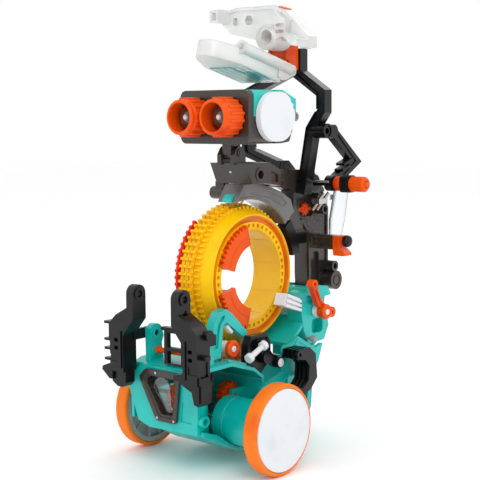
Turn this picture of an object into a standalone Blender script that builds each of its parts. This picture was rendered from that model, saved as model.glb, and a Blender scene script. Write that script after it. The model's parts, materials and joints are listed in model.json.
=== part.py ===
"""Two-wheeled mechanical coding robot from a construction kit.

Working axes, in millimetres: X is lateral with the robot's left at +X, the robot faces -Y and +Z is up.
The ground is z = 0 and the wheel axle lies above y = 0. An empty named robot carries every piece and
moves the origin to the centre of the footprint.
"""

import math

import bmesh
import bpy
from mathutils import Matrix, Vector

MM = 0.001
GAP = 0.3

# Wheels
WHEEL_RADIUS = 32.0
TYRE_INNER = 55.5
TYRE_OUTER = 66.5
RIM_RADIUS = 29.0
AXLE_RADIUS = 1.6
AXLE = (0.0, WHEEL_RADIUS)

# Coding ring, which turns about a lateral axis at (y, z)
RING = (33.0, 130.8)
RING_BORE = 33.9
RING_ROOT = 50.0
RING_TIP = 52.3
RING_TEETH = 60
RING_STEPS = 40
RING_NEAR = 13.0
RING_FAR = -14.0
PINION = (33.0, 70.4)
PINION_TEETH = 10
PINION_TIP = 9.6
ROLLER_RADIUS = 5.0
FRONT_ROLLER = (-3.0, 84.0)
REAR_ROLLER = (82.5, 99.8)

# Head and its nodding hinge
HEAD_HALF = 32.0
HEAD_LOW = 227.0
HEAD_HIGH = 265.0
HEAD_FRONT = 6.0
HEAD_LIP = 11.5
HEAD_SEAM = 246.0
HEAD_SPLIT = 36.0
HEAD_BACK = 60.0
NECK = (25.0, 220.5)
EYE_X = 15.5
EYE_Z = 246.0
EYE_FRONT = -13.5

# Overhead arm: shoulder shaft, booms and claw
SHOULDER = (110.0, 195.0)
BOOM_FRONT = 93.5
BOOM_BACK = 102.5
LOWER_JAW = (80.3, 280.0)
UPPER_JAW = (84.5, 309.0)
JAW_PITCH = 14.5

# Hinges of the smaller levers, each (y, z) on a lateral axis
ARM_PIVOT = (-33.0, 95.0)
LEVER_PIVOT = (24.0, 75.0)
COMB_PIVOT = (50.0, 74.0)
LINK_PIVOT = (88.0, 99.5)
CASTER = (83.5, 9.5)
DRIVE_GEAR = (-22.0, 50.0)
IDLER_GEAR = (11.5, 46.0)

# The footprint's centre along y in the working axes
CENTRE_Y = 43.86

COLOURS = {
    "teal": ((0.0, 0.53, 0.45), 0.38, 0.0),
    "orange": ((1.0, 0.22, 0.02), 0.40, 0.0),
    "red_orange": ((0.86, 0.08, 0.01), 0.38, 0.0),
    "red": ((0.80, 0.02, 0.01), 0.38, 0.0),
    "yellow": ((0.95, 0.60, 0.01), 0.38, 0.0),
    "charcoal": ((0.07, 0.06, 0.05), 0.35, 0.0),
    "black": ((0.012, 0.012, 0.014), 0.42, 0.0),
    "white": ((0.78, 0.80, 0.82), 0.35, 0.0),
    "clear": ((0.80, 0.84, 0.85), 0.15, 0.0),
    "steel": ((0.62, 0.62, 0.63), 0.25, 1.0),
}


def material(node, colour):
    """A material of the node's own in one of the kit's colours."""
    base, roughness, metallic = COLOURS[colour]
    made = bpy.data.materials.new(node + "_" + colour)
    made.use_nodes = True
    shader = made.node_tree.nodes["Principled BSDF"]
    shader.inputs["Base Color"].default_value = (*base, 1.0)
    shader.inputs["Roughness"].default_value = roughness
    shader.inputs["Metallic"].default_value = metallic
    made.diffuse_color = (*base, 1.0)
    return made


def stock(bm):
    """A scratch object from a closed bmesh in millimetres; its faces are turned outwards."""
    bmesh.ops.remove_doubles(bm, verts=bm.verts, dist=0.001)
    bmesh.ops.recalc_face_normals(bm, faces=bm.faces)
    mesh = bpy.data.meshes.new("stock")
    bmesh.ops.scale(bm, vec=(MM, MM, MM), verts=bm.verts)
    bm.to_mesh(mesh)
    bm.free()
    piece = bpy.data.objects.new("stock", mesh)
    piece.hide_render = True
    piece.display_type = "WIRE"
    bpy.context.scene.collection.objects.link(piece)
    return piece


def prism(axis, outline, low, high):
    """Extrudes a closed outline along X, Y or Z. Its points are (y, z), (x, z) or (x, y)."""
    place = {
        "X": lambda p, d: (d, p[0], p[1]),
        "Y": lambda p, d: (p[0], d, p[1]),
        "Z": lambda p, d: (p[0], p[1], d),
    }[axis]
    bm = bmesh.new()
    face = bm.faces.new([bm.verts.new(place(p, low)) for p in outline])
    moved = bmesh.ops.extrude_face_region(bm, geom=[face])["geom"]
    tops = [v for v in moved if isinstance(v, bmesh.types.BMVert)]
    step = Vector(place((0, 0), high)) - Vector(place((0, 0), low))
    bmesh.ops.translate(bm, vec=step, verts=tops)
    return stock(bm)


def box(x, y, z):
    """A block between the two values given for each axis."""
    return prism("Z", [(x[0], y[0]), (x[1], y[0]), (x[1], y[1]), (x[0], y[1])], z[0], z[1])


def arc(centre, radius, start, end, steps):
    """Points of an arc from one angle to the other, in degrees."""
    angles = [math.radians(start + (end - start) * i / steps) for i in range(steps + 1)]
    return [(centre[0] + radius * math.cos(a), centre[1] + radius * math.sin(a)) for a in angles]


def circle(centre, radius, sides=20):
    return arc(centre, radius, 0, 360 - 360 / sides, sides - 1)


def disc(centre, radius, low, high, sides=20, axis="X"):
    """A cylinder along one axis."""
    return prism(axis, circle(centre, radius, sides), low, high)


def turned(profile, centre, steps=32):
    """Turns a closed (x, radius) profile about a lateral axis through (y, z)."""
    bm = bmesh.new()
    loops = []
    for i in range(steps):
        a = 2 * math.pi * i / steps
        loops.append([
            bm.verts.new((x, centre[0] + r * math.cos(a), centre[1] + r * math.sin(a))) for x, r in profile
        ])
    for i, here in enumerate(loops):
        there = loops[(i + 1) % steps]
        for j in range(len(profile)):
            k = (j + 1) % len(profile)
            if profile[j][1] > 0 or profile[k][1] > 0:
                bm.faces.new((here[j], here[k], there[k], there[j]))
    bmesh.ops.dissolve_degenerate(bm, dist=0.0001, edges=bm.edges)
    return stock(bm)


def toothed(centre, root, tip, teeth, width=0.5):
    """The outline of a spur gear with tapered teeth; width is the tooth's share of the pitch at its root."""
    points = []
    pitch = 360 / teeth
    for i in range(teeth):
        for radius, share in ((root, -width), (tip, -width * 0.6), (tip, width * 0.6), (root, width)):
            a = math.radians(pitch * (i + share / 2))
            points.append((centre[0] + radius * math.cos(a), centre[1] + radius * math.sin(a)))
    return points


def sector(centre, inner, root, tip, start, end, teeth):
    """The outline of a ring sector whose outer edge carries teeth."""
    points = []
    step = (end - start) / teeth
    for i in range(teeth):
        for radius, share in ((root, 0.1), (tip, 0.25), (tip, 0.6), (root, 0.75)):
            a = math.radians(start + step * (i + share))
            points.append((centre[0] + radius * math.cos(a), centre[1] + radius * math.sin(a)))
    points += arc(centre, inner, end, start, max(4, teeth // 2))
    return points


def strip(points, width):
    """The outline of a bar of one width along a bent centre line, with mitred corners."""
    left, right = [], []
    for i, point in enumerate(points):
        here = Vector(point)
        before = (here - Vector(points[i - 1])).normalized() if i else None
        after = (Vector(points[i + 1]) - here).normalized() if i + 1 < len(points) else None
        before = before or after
        after = after or before
        along = (before + after).normalized()
        normal = Vector((-along.y, along.x))
        reach = width / 2 / max(0.3, normal.dot(Vector((-after.y, after.x))))
        left.append(tuple(here + normal * reach))
        right.append(tuple(here - normal * reach))
    return left + right[::-1]


def rounded(x, z, radius, steps=4):
    """The outline of a rectangle with rounded corners."""
    corners = ((x[1] - radius, z[1] - radius, 0), (x[0] + radius, z[1] - radius, 90),
               (x[0] + radius, z[0] + radius, 180), (x[1] - radius, z[0] + radius, 270))
    points = []
    for cx, cz, start in corners:
        points += arc((cx, cz), radius, start, start + 90, steps)
    return points


def evaluated(piece):
    """The piece's mesh with its modifiers applied."""
    graph = bpy.context.evaluated_depsgraph_get()
    return bpy.data.meshes.new_from_object(piece.evaluated_get(graph))


def solid(node, colour, pieces, holes=(), axis=None, mirror=False):
    """Joins the pieces, cuts the holes and names the result. The origin goes on the lateral axis (y, z)."""
    body = pieces[0]
    for operation, others in (("UNION", pieces[1:]), ("DIFFERENCE", holes)):
        for other in others:
            modifier = body.modifiers.new(operation, "BOOLEAN")
            modifier.operation = operation
            modifier.object = other
    mesh = evaluated(body)
    for used in [*pieces, *holes]:
        bpy.data.objects.remove(used)
    place = Vector((0.0, axis[0] * MM, axis[1] * MM)) if axis else Vector((0.0, 0.0, 0.0))
    mesh.transform(Matrix.Translation(-place))
    if mirror:
        mesh.transform(Matrix.Scale(-1, 4, (1, 0, 0)))
        mesh.flip_normals()
    mesh.shade_smooth()
    mesh.set_sharp_from_angle(angle=math.radians(41))
    mesh.materials.clear()
    mesh.materials.append(material(node, colour))
    mesh.name = node
    made = bpy.data.objects.new(node, mesh)
    made.location = place
    made.parent = bpy.data.objects["robot"]
    bpy.context.scene.collection.objects.link(made)
    return made


def clear_scene():
    for existing in list(bpy.data.objects):
        bpy.data.objects.remove(existing)


def frame_empty():
    """The empty that carries every piece."""
    robot = bpy.data.objects.new("robot", None)
    robot.location = (0.0, -CENTRE_Y * MM, 0.0)
    bpy.context.scene.collection.objects.link(robot)


def sides():
    """The two sides of the robot, as a name and whether the piece is mirrored."""
    return (("left", False), ("right", True))


# ---------------------------------------------------------------- chassis


def floor_pan():
    """The tub's floor, which rises towards the front, with its ribs, bulkhead and gear bearings."""
    profile = [(-40.5, 29.5), (-28, 25), (-12, 15.6), (-3, 11.4), (20, 9), (72, 9), (72, 24), (69, 24),
               (69, 12.5), (20, 12.5), (-3, 14.2), (-12, 18.6), (-26, 27.8), (-40.5, 32.8)]
    ribs = [box((x - 1, x + 1), (24, 70), (11, 18)) for x in (-18, 0, 18)]
    bulkhead = box((-28.4, 28.4), (23.5, 26), (10, 58))
    drive_post = [(-28, 27), (-28, 50), (-22, 55), (-16, 50), (-14, 18)]
    idler_post = [(7, 41), (7, 51), (24, 51), (24, 41)]
    pinion_post = [(23.5, 44), (23.5, 57), (28, 75.5), (38, 75.5), (38, 66), (30, 60), (26, 46)]
    posts = [
        prism("X", drive_post, 8.6, 10.6),
        prism("X", idler_post, -1.6, 0.6),
        prism("X", idler_post, 11.4, 13.6),
        prism("X", pinion_post, -18.2, -16.2),
        prism("X", pinion_post, 10.2, 12.2),
    ]
    holes = [
        disc(DRIVE_GEAR, 1.9, 8, 11, 10),
        disc(IDLER_GEAR, 2.1, -2, 14, 10),
        disc(PINION, 2.9, -19, 13, 10),
    ]
    solid("floor_pan", "teal", [prism("X", profile, -28.4, 28.4), *ribs, bulkhead, *posts], holes)


def front_housing():
    """The front face with its roof, side cheeks, tube socket, roller post and front arm lugs."""
    face = [(-30, 33), (-19, 29.5), (26, 30.5), (27, 60), (24, 72.5), (-25, 74), (-36, 68), (-39.5, 58)]
    roof_line = [(-41.5, 74), (-34, 76.5), (-12, 76.5), (12, 69), (23, 61)]
    roof = roof_line + [(y, z - 2.6) for y, z in reversed(roof_line)]
    cheek = [(-43, 34), (-43, 73), (-34, 75), (-12, 75), (12, 68), (18, 63), (18, 51), (-18, 51), (-24, 34)]
    post = [(-43, 33.3), (-43, 72), (-36, 75), (-33, 75), (-37, 33.3)]
    lug = [(-39, 75), (-39.5, 99), (-36, 102), (-29, 101), (-25, 95), (-27, 87), (-26, 75)]
    pieces = [
        prism("Y", face, -44, -41),
        prism("X", roof, -36, 30.5),
        prism("X", cheek, -37.5, -35),
        prism("X", post, 23.5, 26.2),
        disc((-39.5, 40), 3.9, 20, 30, 14),
        prism("X", lug, 21.8, 26.5),
        prism("X", lug, -26.5, -21.8),
        box((-0.8, 2.8), (-6, 0), (72.5, 87.5)),
    ]
    window = [(-23, 64), (-18.5, 69), (8.5, 69), (5.5, 39.5), (-8, 39.5)]
    holes = [
        prism("Y", window, -46, -38),
        disc((-39.5, 40), 2.1, 27, 32, 12),
        disc(ARM_PIVOT, 2.2, -30, 30, 10),
        disc((-33, 83), 2.3, -30, 30, 10),
        disc(DRIVE_GEAR, 1.9, -40, -33, 10),
        disc(FRONT_ROLLER, 2.1, -2, 4, 10),
    ]
    solid("front_housing", "teal", pieces, holes)


def window_bezel():
    """The dark frame round the gear window."""
    outer = [(-27, 65.5), (-20, 72), (12.5, 72), (8.5, 36), (-10.5, 36)]
    inner = [(-21.5, 63.5), (-17.8, 67.5), (7.5, 67.5), (4.5, 40.5), (-7, 40.5)]
    solid("window_bezel", "charcoal", [prism("Y", outer, -46.5, -44.3)], [prism("Y", inner, -48, -42)])


def motor_pods():
    """The drum on each side that holds a gear motor, round the wheel axle."""
    for side, mirror in sides():
        shell = turned([(14.5, 3), (14.5, 17), (50.5, 17), (52.5, 15), (52.5, 3)], AXLE, 20)
        foot = box((16, 28), (-5, 9), (15.8, 20))
        solid("motor_pod_" + side, "teal", [shell, foot], mirror=mirror)


def side_frames():
    """The side walls of the rear half, with a lightening window and a shaft ear each."""
    wall = [(18.5, 12), (18.5, 53), (44, 60), (52, 78), (62, 84), (84, 72), (93, 74), (88, 62), (81, 54),
            (78, 28), (71, 12.5), (40, 10)]
    window = [(32, 22), (32, 46), (50, 56), (66, 56), (74, 46), (70, 22)]
    for side, mirror in sides():
        ear = disc(COMB_PIVOT, 5.5, 28.8, 32, 14)
        solid("side_frame_" + side, "teal", [prism("X", wall, 28.8, 32), ear],
              [prism("X", window, 27, 34), disc(COMB_PIVOT, 2.1, 27, 34, 10)], mirror=mirror)


def rear_tower():
    """The tower behind the ring that carries the spine."""
    core = [(90, 60.3), (90, 98), (98, 114), (106, 114), (106, 108.6), (121, 108.6), (119, 90), (112, 72),
            (98, 60.3)]
    cheek = [(104, 106), (104, 116), (117, 114), (121, 107)]
    pieces = [
        prism("X", core, -14.2, 14.2),
        prism("X", cheek, 8, 20),
        prism("X", cheek, -20, -8),
    ]
    solid("rear_tower", "teal", pieces, [prism("X", rounded((95, 106), (68, 92), 3, 2), -22, 22)])


def rear_skid():
    """The rear block below the tower, with the caster fork."""
    fork = [(76, 12), (80, 5.6), (87, 5.6), (91, 12), (91, 24), (76, 24)]
    block = [(72.4, 16), (72.4, 59.8), (92, 59.8), (94, 44), (92, 22), (74, 21)]
    pieces = [prism("X", block, -14, 14), prism("X", fork, 6.4, 9.4), prism("X", fork, -9.4, -6.4)]
    solid("rear_skid", "teal", pieces,
          [box((-10, 10), (77, 100), (28, 52)), disc(CASTER, 2.1, -10, 10, 10)])


def caster_wheel():
    """The small trailing wheel, with the pins that turn in the fork."""
    half = [(9.2, 0), (9.2, 1.7), (5.8, 1.7), (5.8, 3), (4.5, 3), (4.5, 8.5), (3.5, 9.5)]
    profile = [(-x, r) for x, r in half] + half[::-1]
    solid("caster_wheel", "orange", [turned(profile, CASTER, 18)], axis=CASTER)


def axle_rod():
    solid("axle_rod", "steel", [disc(AXLE, AXLE_RADIUS, -64.2, 64.2, 10)])


def gears():
    """The drive gear behind the window, the inner idler and the pinion below the ring."""
    solid("drive_gear", "red_orange",
          [prism("X", toothed(DRIVE_GEAR, 12.6, 15, 20), -8, -3), disc(DRIVE_GEAR, 6, -14, -2, 12),
           disc(DRIVE_GEAR, 1.5, -38.4, 11.4, 10)], axis=DRIVE_GEAR)
    solid("idler_gear", "red_orange",
          [prism("X", toothed(IDLER_GEAR, 8, 9.8, 14), 3, 9), disc(IDLER_GEAR, 3.5, 1, 11, 12),
           disc(IDLER_GEAR, 1.7, -1.4, 13.4, 10)],
          axis=IDLER_GEAR)
    teeth = prism("X", toothed(PINION, 7.4, PINION_TIP, PINION_TEETH), -12, -2)
    solid("ring_pinion", "orange", [teeth, disc(PINION, 2.6, -18, 12, 10)], axis=PINION)


# ---------------------------------------------------------------- wheels


def wheels():
    """Each wheel is a soft tyre, a ribbed hub and a flat outer cap."""
    for side, mirror in sides():
        tread = [(TYRE_INNER, RIM_RADIUS + GAP), (TYRE_OUTER, RIM_RADIUS + GAP), (65.3, WHEEL_RADIUS),
                 (56.7, WHEEL_RADIUS)]
        solid("tyre_" + side, "orange", [turned(tread, AXLE, 32)], axis=AXLE, mirror=mirror)
        hub = [(53.2, 2), (53.2, 6.5), (60, 6.5), (60, 25.5), (56, 25.5), (56, 28.8), (64.7, 28.8), (64.7, 2)]
        ribs = []
        for i in range(6):
            rib = box((56.5, 61), (6, 26), (-0.8, 0.8))
            rib.data.transform(Matrix.Rotation(math.radians(60 * i + 15), 4, "X"))
            rib.data.transform(Matrix.Translation((0, 0, WHEEL_RADIUS * MM)))
            ribs.append(rib)
        solid("hub_" + side, "clear", [turned(hub, AXLE, 16), *ribs], axis=AXLE, mirror=mirror)
        cap = [(65.0, 0), (65.0, 28.9), (66.8, 28.9), (67.4, 28), (67.4, 0)]
        solid("wheel_cap_" + side, "white", [turned(cap, AXLE, 32)], axis=AXLE, mirror=mirror)


# ---------------------------------------------------------------- coding ring


def ring_drum():
    """The drum: toothed band, cone, rim, flange and bore."""
    shell = [(RING_FAR, RING_BORE), (11.5, RING_BORE), (11.5, 42), (RING_NEAR, 42.8), (RING_NEAR, 44.5),
             (4, 48.6), (RING_FAR, 48.6)]
    band = prism("X", toothed(RING, RING_ROOT, RING_TIP, RING_TEETH), -12.6, -1)
    bore = disc(RING, RING_BORE + 5, -20, 20, RING_STEPS)
    solid("ring_drum", "yellow", [turned(shell, RING, RING_STEPS), ring_band(band, bore)], axis=RING)


def ring_band(band, bore):
    """The toothed band as an open ring."""
    cut = band.modifiers.new("bore", "BOOLEAN")
    cut.operation = "DIFFERENCE"
    cut.object = bore
    band.data = evaluated(band)
    band.modifiers.clear()
    bpy.data.objects.remove(bore)
    return band


def ring_trim():
    """The toothed red sector and the two code segments on the near flange."""
    plate = sector(RING, 35.5, 50.4, 52.2, 126, 246, 22)
    solid("ring_sector", "red", [prism("X", plate, -18.2, RING_FAR - GAP)], axis=RING)
    for name, start, end in (("upper", 102, 166), ("lower", 194, 258)):
        face = sector(RING, 23.5, 36.6, 38.8, start, end, 11)
        tongue = arc(RING, 33.4, start, end, 8) + arc(RING, 28.5, end, start, 8)
        solid("ring_segment_" + name, "red_orange",
              [prism("X", face, 11.8, 15.6), prism("X", tongue, 2, 12.5)], axis=RING)


def rollers():
    """The two rollers that the ring's rim runs on, each with a screwed cap."""
    front = [(-0.6, 0), (-0.6, 1.7), (3.5, 1.7), (3.5, ROLLER_RADIUS), (21.5, ROLLER_RADIUS), (21.5, 6.3),
             (24.5, 6.3), (25, 5.4), (25, 0)]
    solid("roller_front", "white", [turned(front, FRONT_ROLLER, 14)], axis=FRONT_ROLLER)
    rear = [(-3, 0)]
    for i in range(3):
        x = -3 + 5.9 * i
        rear += [(x, ROLLER_RADIUS), (x + 4.4, ROLLER_RADIUS), (x + 4.4, 4.1), (x + 5.9, 4.1)]
    rear = rear[:-2] + [(13.2, 1.7), (17.4, 1.7), (17.4, 0)]
    solid("roller_rear", "white", [turned(rear, REAR_ROLLER, 14)], axis=REAR_ROLLER)


def roller_brackets():
    """The brackets that hold the rollers; the rear one carries a cradle that follows the ring."""
    hook = [(-26, 79), (-19, 104), (-14, 111), (-7, 112.5), (-1, 109), (16.5, 93), (13.5, 88.8), (3, 96.5),
            (-6, 103), (-10, 101), (-13, 79)]
    hook_base = box((13.9, 21.3), (-30, -13), (78.4, 84))
    solid("roller_bracket_front", "teal", [prism("X", hook, 14, 21), hook_base])
    plate = [(74, 86), (70, 104), (74, 114), (80, 115), (101, 103), (106, 86), (100, 75.5), (80, 74.5)]
    cradle = arc(RING, 55.6, -68, -28, 10) + arc(RING, 58.2, -28, -68, 10)
    rib = [(54.5, 79), (64, 84), (74, 92), (81, 101), (81, 80), (64, 75.5)]
    pieces = [prism("X", plate, 14.6, 28.4), prism("X", cradle, -28, 28), prism("X", rib, -28, -25)]
    holes = [
        box((-4, 14.3), (75, 92), (92.5, 110)),
        prism("X", rounded((84, 98), (82, 93), 3, 1), 22, 30),
        disc(REAR_ROLLER, 2.1, 12, 18, 10),
        disc(LINK_PIVOT, 2.1, 23, 30, 10),
    ]
    solid("roller_bracket_rear", "teal", pieces, holes)


# ---------------------------------------------------------------- spine and chest


def chest_block():
    """The chest under the head, with the neck cheeks and their pin, a lateral bore and the side knob."""
    block = [(21, 213), (48, 213), (61, 207), (61, 195), (44, 198), (28, 198)]
    arm = [(60, 207.5), (84.7, 206), (84.7, 191.5), (60, 194.5)]
    cheek = [(18.5, 212), (18.5, 219), *arc(NECK, 4.6, 150, 30, 5), (31.5, 219), (31.5, 212)]
    pieces = [
        prism("X", block, -17, 17),
        prism("X", arm, -6, 6),
        prism("X", cheek, 4.4, 8),
        prism("X", cheek, -8, -4.4),
        disc((33, 190.5), 5.2, -27, -12, 12),
        box((-22, -12), (29, 37), (190, 199)),
        disc(NECK, 1.6, -9.2, 9.2, 10),
    ]
    holes = [disc((37, 204.4), 3.2, -20, 20, 12)]
    solid("chest_block", "charcoal", pieces, holes)


def hood():
    """The curved cowl between the chest and the ring."""
    under = arc(RING, 55.5, 38, 104, 12)
    over = [(24, 191), (28.6, 197.6), (43.6, 197.6), (60, 194), (72, 190), (84, 183.5), (88, 174)]
    solid("hood", "charcoal", [prism("X", under + over, -9, 9)])


def spine():
    """The curved backbone from the chest down to the tower, with its side recesses and bosses."""
    outer = [(85, 206), (106, 205), (121, 199), (131, 189), (136, 174), (136.5, 124), (131, 109)]
    inner = [(109, 109), (108, 124), (108, 158), (97.5, 170), (91, 177), (91, 189), (85, 191.5)]
    column = prism("X", outer + inner, -6, 6)
    boss = disc((131, 128), 4.2, 5, 17, 12)
    knob = disc((133.5, 116.5), 7.5, 5, 16.5, 18)
    lugs = [disc((123, 173.5), 4.0, 5, 13, 12), disc((117, 182), 4.6, 5, 13, 12)]
    recess = rounded((98, 116), (168.5, 180), 3, 1)
    lower = rounded((114, 124), (114, 140), 3, 1)
    holes = [prism("X", recess, 3.5, 8), prism("X", recess, -8, -3.5), prism("X", lower, 3.5, 20),
             prism("X", lower, -8, -3.5), disc((131, 128), 2.4, 12, 20, 10), disc(SHOULDER, 2.6, -8, 8, 12)]
    solid("spine", "charcoal", [column, boss, knob, *lugs], holes)


def guide_strip():
    """The curved guard behind the ring, held off the spine."""
    band = arc(RING, 54.2, 10, 36, 6) + arc(RING, 63, 36, 10, 6)
    solid("guide_strip", "black", [prism("X", band, 0, 9), box((1, 6), (86, 107.6), (148, 156))])


def bracket_bar():
    """The lateral bar on the spine, and the clip with its ball end."""
    solid("bracket_bar", "charcoal", [box((6.3, 31), (109, 116), (144, 155))],
          [box((10, 28), (108, 110.5), (146.5, 152.5))])
    clip = [(31.3, 143), (31.3, 155), (37, 155), (37, 146), (42, 142), (42, 139.8), (32, 139.8)]
    ball = [(36, 0), (36, 2.6), (38.5, 2.6), (39.6, 4.2), (43, 4.2), (44.5, 2.6), (44.5, 0)]
    solid("bracket_clip", "red_orange", [prism("Y", clip, 107, 117), turned(ball, (112, 151), 12)])


def clear_plate():
    plate = [(121, 146), (121, 165), (129, 192), (147.72, 190), (143, 165), (137.5, 146)]
    solid("clear_plate", "clear", [prism("X", plate, 17.4, 19.4), box((6.3, 17.8), (123, 127), (181, 185))])


def steel_rods():
    """A pair of slanted pins beside each shoulder, with the collar that holds them to their neighbour."""
    places = (("left", 18, 110, 181, 13.3, 20.5), ("right", -21.5, 65, 187, -24, -9.3))
    for side, x, y, z, inner, outer in places:
        rods = []
        for shift in (-3, 3):
            rod = disc((0, 0), 1.3, -9, 9, 10, "Z")
            rod.data.transform(Matrix.Rotation(math.radians(40), 4, "Y"))
            rod.data.transform(Matrix.Translation((x * MM, (y + shift) * MM, z * MM)))
            rods.append(rod)
        solid("steel_rods_" + side, "steel", [*rods, box((inner, outer), (y - 5.5, y + 5.5), (z - 2, z + 2))])


# ---------------------------------------------------------------- head


def head_shells():
    """The dark front shell, which runs back below the seam, and the coloured shell above and behind it."""
    outline = rounded((-HEAD_HALF, HEAD_HALF), (HEAD_LOW, HEAD_HIGH), 5, 3)
    hollow = rounded((-HEAD_HALF + 2.4, HEAD_HALF - 2.4), (HEAD_LOW + 2.4, HEAD_HIGH - 2.4), 3.5, 1)
    tab = [(19, 229), (20, 219), *arc(NECK, 5, 200, 340, 6), (30, 219), (31, 229)]
    sockets = [disc((x, EYE_Z), 9.5, 0, 14, 18, "Y") for x in (EYE_X, -EYE_X)]
    front = prism("Y", outline, HEAD_FRONT, HEAD_SPLIT)
    cavity = prism("Y", hollow, HEAD_FRONT + 2.6, HEAD_SPLIT + 4)
    above = box((-40, 40), (HEAD_LIP, HEAD_SPLIT + 4), (HEAD_SEAM, HEAD_HIGH + 5))
    solid("head_front", "charcoal", [front, prism("X", tab, -4, 4)],
          [cavity, *sockets, disc(NECK, 2.0, -8, 8, 10), above], axis=NECK)
    behind = HEAD_SPLIT + GAP
    rear = [(behind, HEAD_LOW + 6), (behind, HEAD_HIGH), (44, HEAD_HIGH), (HEAD_BACK, 258.5),
            (HEAD_BACK, 238), (53, HEAD_LOW + 1), (44, HEAD_LOW), (behind, HEAD_LOW)]
    pins = [disc((58, 246), 3.4, 27, 34, 12), disc((58, 246), 3.4, -34, -27, 12)]
    roof = prism("Y", outline, HEAD_LIP + GAP, behind + 2)
    under_roof = prism("Y", hollow, HEAD_LIP - 2, behind + 1)
    below = box((-40, 40), (HEAD_LIP - 2, behind), (HEAD_LOW - 5, HEAD_SEAM + GAP))
    solid("head_rear", "teal", [roof, prism("X", rear, -HEAD_HALF, HEAD_HALF), *pins],
          [under_roof, box((-28, 28), (30, 56), (230, 256)), below], axis=NECK)


def ears():
    """The long round-ended caps on the head's sides."""
    cap = arc((35, 246), 17.5, -90, 90, 12) + arc((30.5, 246), 17.5, 90, 270, 12)
    for side, mirror in sides():
        plate = prism("X", cap, HEAD_HALF + 0.4, HEAD_HALF + 5)
        solid("ear_" + side, "white", [plate], axis=NECK, mirror=mirror)


def eyes():
    """Each eye is an open ribbed sleeve in front of its socket."""
    for side, x in (("left", EYE_X), ("right", -EYE_X)):
        sleeve = disc((x, EYE_Z), 12.4, EYE_FRONT, HEAD_FRONT - GAP, 18, "Y")
        grip = prism("Y", toothed((x, EYE_Z), 12.2, 14.2, 12, 0.62), EYE_FRONT + 3.5, HEAD_FRONT - 1)
        solid("eye_ring_" + side, "red_orange", [sleeve, grip],
              [disc((x, EYE_Z), 10.2, EYE_FRONT - 2, HEAD_FRONT + 2, 18, "Y")], axis=NECK)


# ---------------------------------------------------------------- overhead arm


def booms():
    """The two bent bars that pass either side of the head, with an eye each on the shoulder shaft."""
    near = [(7, 297), (7, 278.5), (29.5, 263.5), (29.5, 250), (19.5, 236), (10.5, 187)]
    eye = [(98, 189), (98, 204), (110, 203), *arc(SHOULDER, 6.5, 90, -90, 8)]
    boss = disc((98, 235), 5.6, 19, 33.5, 14)
    solid("boom_left", "black",
          [prism("Y", strip(near, 8), BOOM_FRONT, BOOM_BACK), prism("X", eye, 6.6, 12.6), boss],
          [disc(SHOULDER, 2.6, 0, 20, 12), disc((98, 235), 2.4, 28, 40, 10)], axis=SHOULDER)
    far = [(-7, 297), (-7, 278.5), (-41, 264.5), (-44.5, 242), (-43, 218.5), (-9.6, 207)]
    far_eye = [(94, 204), (94, 212), (102, 212), (113, 203), *arc(SHOULDER, 6.5, 60, -120, 8)]
    solid("boom_right", "black",
          [prism("Y", strip(far, 8), BOOM_FRONT, BOOM_BACK), prism("X", far_eye, -12.6, -6.6)],
          [disc(SHOULDER, 2.6, -20, 0, 12)], axis=SHOULDER)


def shoulder():
    """The shoulder shaft with its ball collar and end block, and the knob that turns it."""
    collar = [(32, 0), (32, 3.6), (34, 5.2), (37, 5.2), (39, 3.6), (39, 0)]
    block = prism("X", rounded((104, 116), (188.5, 201.5), 3, 2), 39.5, 46.6)
    shaft = disc(SHOULDER, 2.2, -13, 46.6, 10)
    solid("shoulder_shaft", "black", [shaft, turned(collar, SHOULDER, 12), block], axis=SHOULDER)
    knob = [(47, 0), (47, 5.8), (59, 5.8), (60, 5), (60, 2.2), (58, 2.2), (58, 0)]
    solid("shoulder_knob", "red_orange", [turned(knob, SHOULDER, 16)], axis=SHOULDER)


def bell_crank():
    """The rear link from the boom's boss back to its elbow and down to the shoulder shaft."""
    bar = prism("X", strip([(108.8, 234.5), (139.24, 211), SHOULDER], 7.6), 25, 31.5)
    fins = [prism("X", strip([(119, 209), (131, 213)], 2.0), 26, 34),
            prism("X", strip([(117, 204.5), (128, 208)], 2.0), 26, 34)]
    pieces = [bar, disc(SHOULDER, 6.0, 25, 31.5, 14), disc((108.8, 234.5), 5.2, 25, 31.5, 12), *fins]
    solid("bell_crank", "black", pieces, [disc(SHOULDER, 2.6, 20, 36, 10)], axis=SHOULDER)


def claw_mount():
    """The bracket between the boom tips that carries both jaws."""
    side = [(84, 281), (80, 290), (80, 299), (84, 303.5), (93.2, 303.5), (93.2, 281)]
    lug = [(74, 276), (74, 284), (84, 292), (90, 292), (90, 283)]
    cheek = [(81, 301), (81, 309), *arc(UPPER_JAW, 3.5, 170, 10, 6), (88, 309), (88, 301)]
    pieces = [
        prism("X", side, -8.2, 9.2),
        prism("X", lug, 4, 8),
        disc(LOWER_JAW, 1.6, 6, 14.5, 10),
        prism("X", cheek, 5.4, 8),
        prism("X", cheek, -8, -5.4),
        disc(UPPER_JAW, 1.6, -8, 8, 10),
    ]
    holes = [disc((3, 297), 2.2, 70, 90, 10, "Y"), disc((3, 288), 2.2, 70, 90, 10, "Y")]
    solid("claw_mount", "red_orange", pieces, holes, axis=SHOULDER)


def pitched(piece):
    """Tilts a piece of the lower jaw, nose up, about its pivot."""
    pivot = Matrix.Translation((0, LOWER_JAW[0] * MM, LOWER_JAW[1] * MM))
    piece.data.transform(pivot @ Matrix.Rotation(math.radians(-JAW_PITCH), 4, "X") @ pivot.inverted())
    return piece


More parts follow.
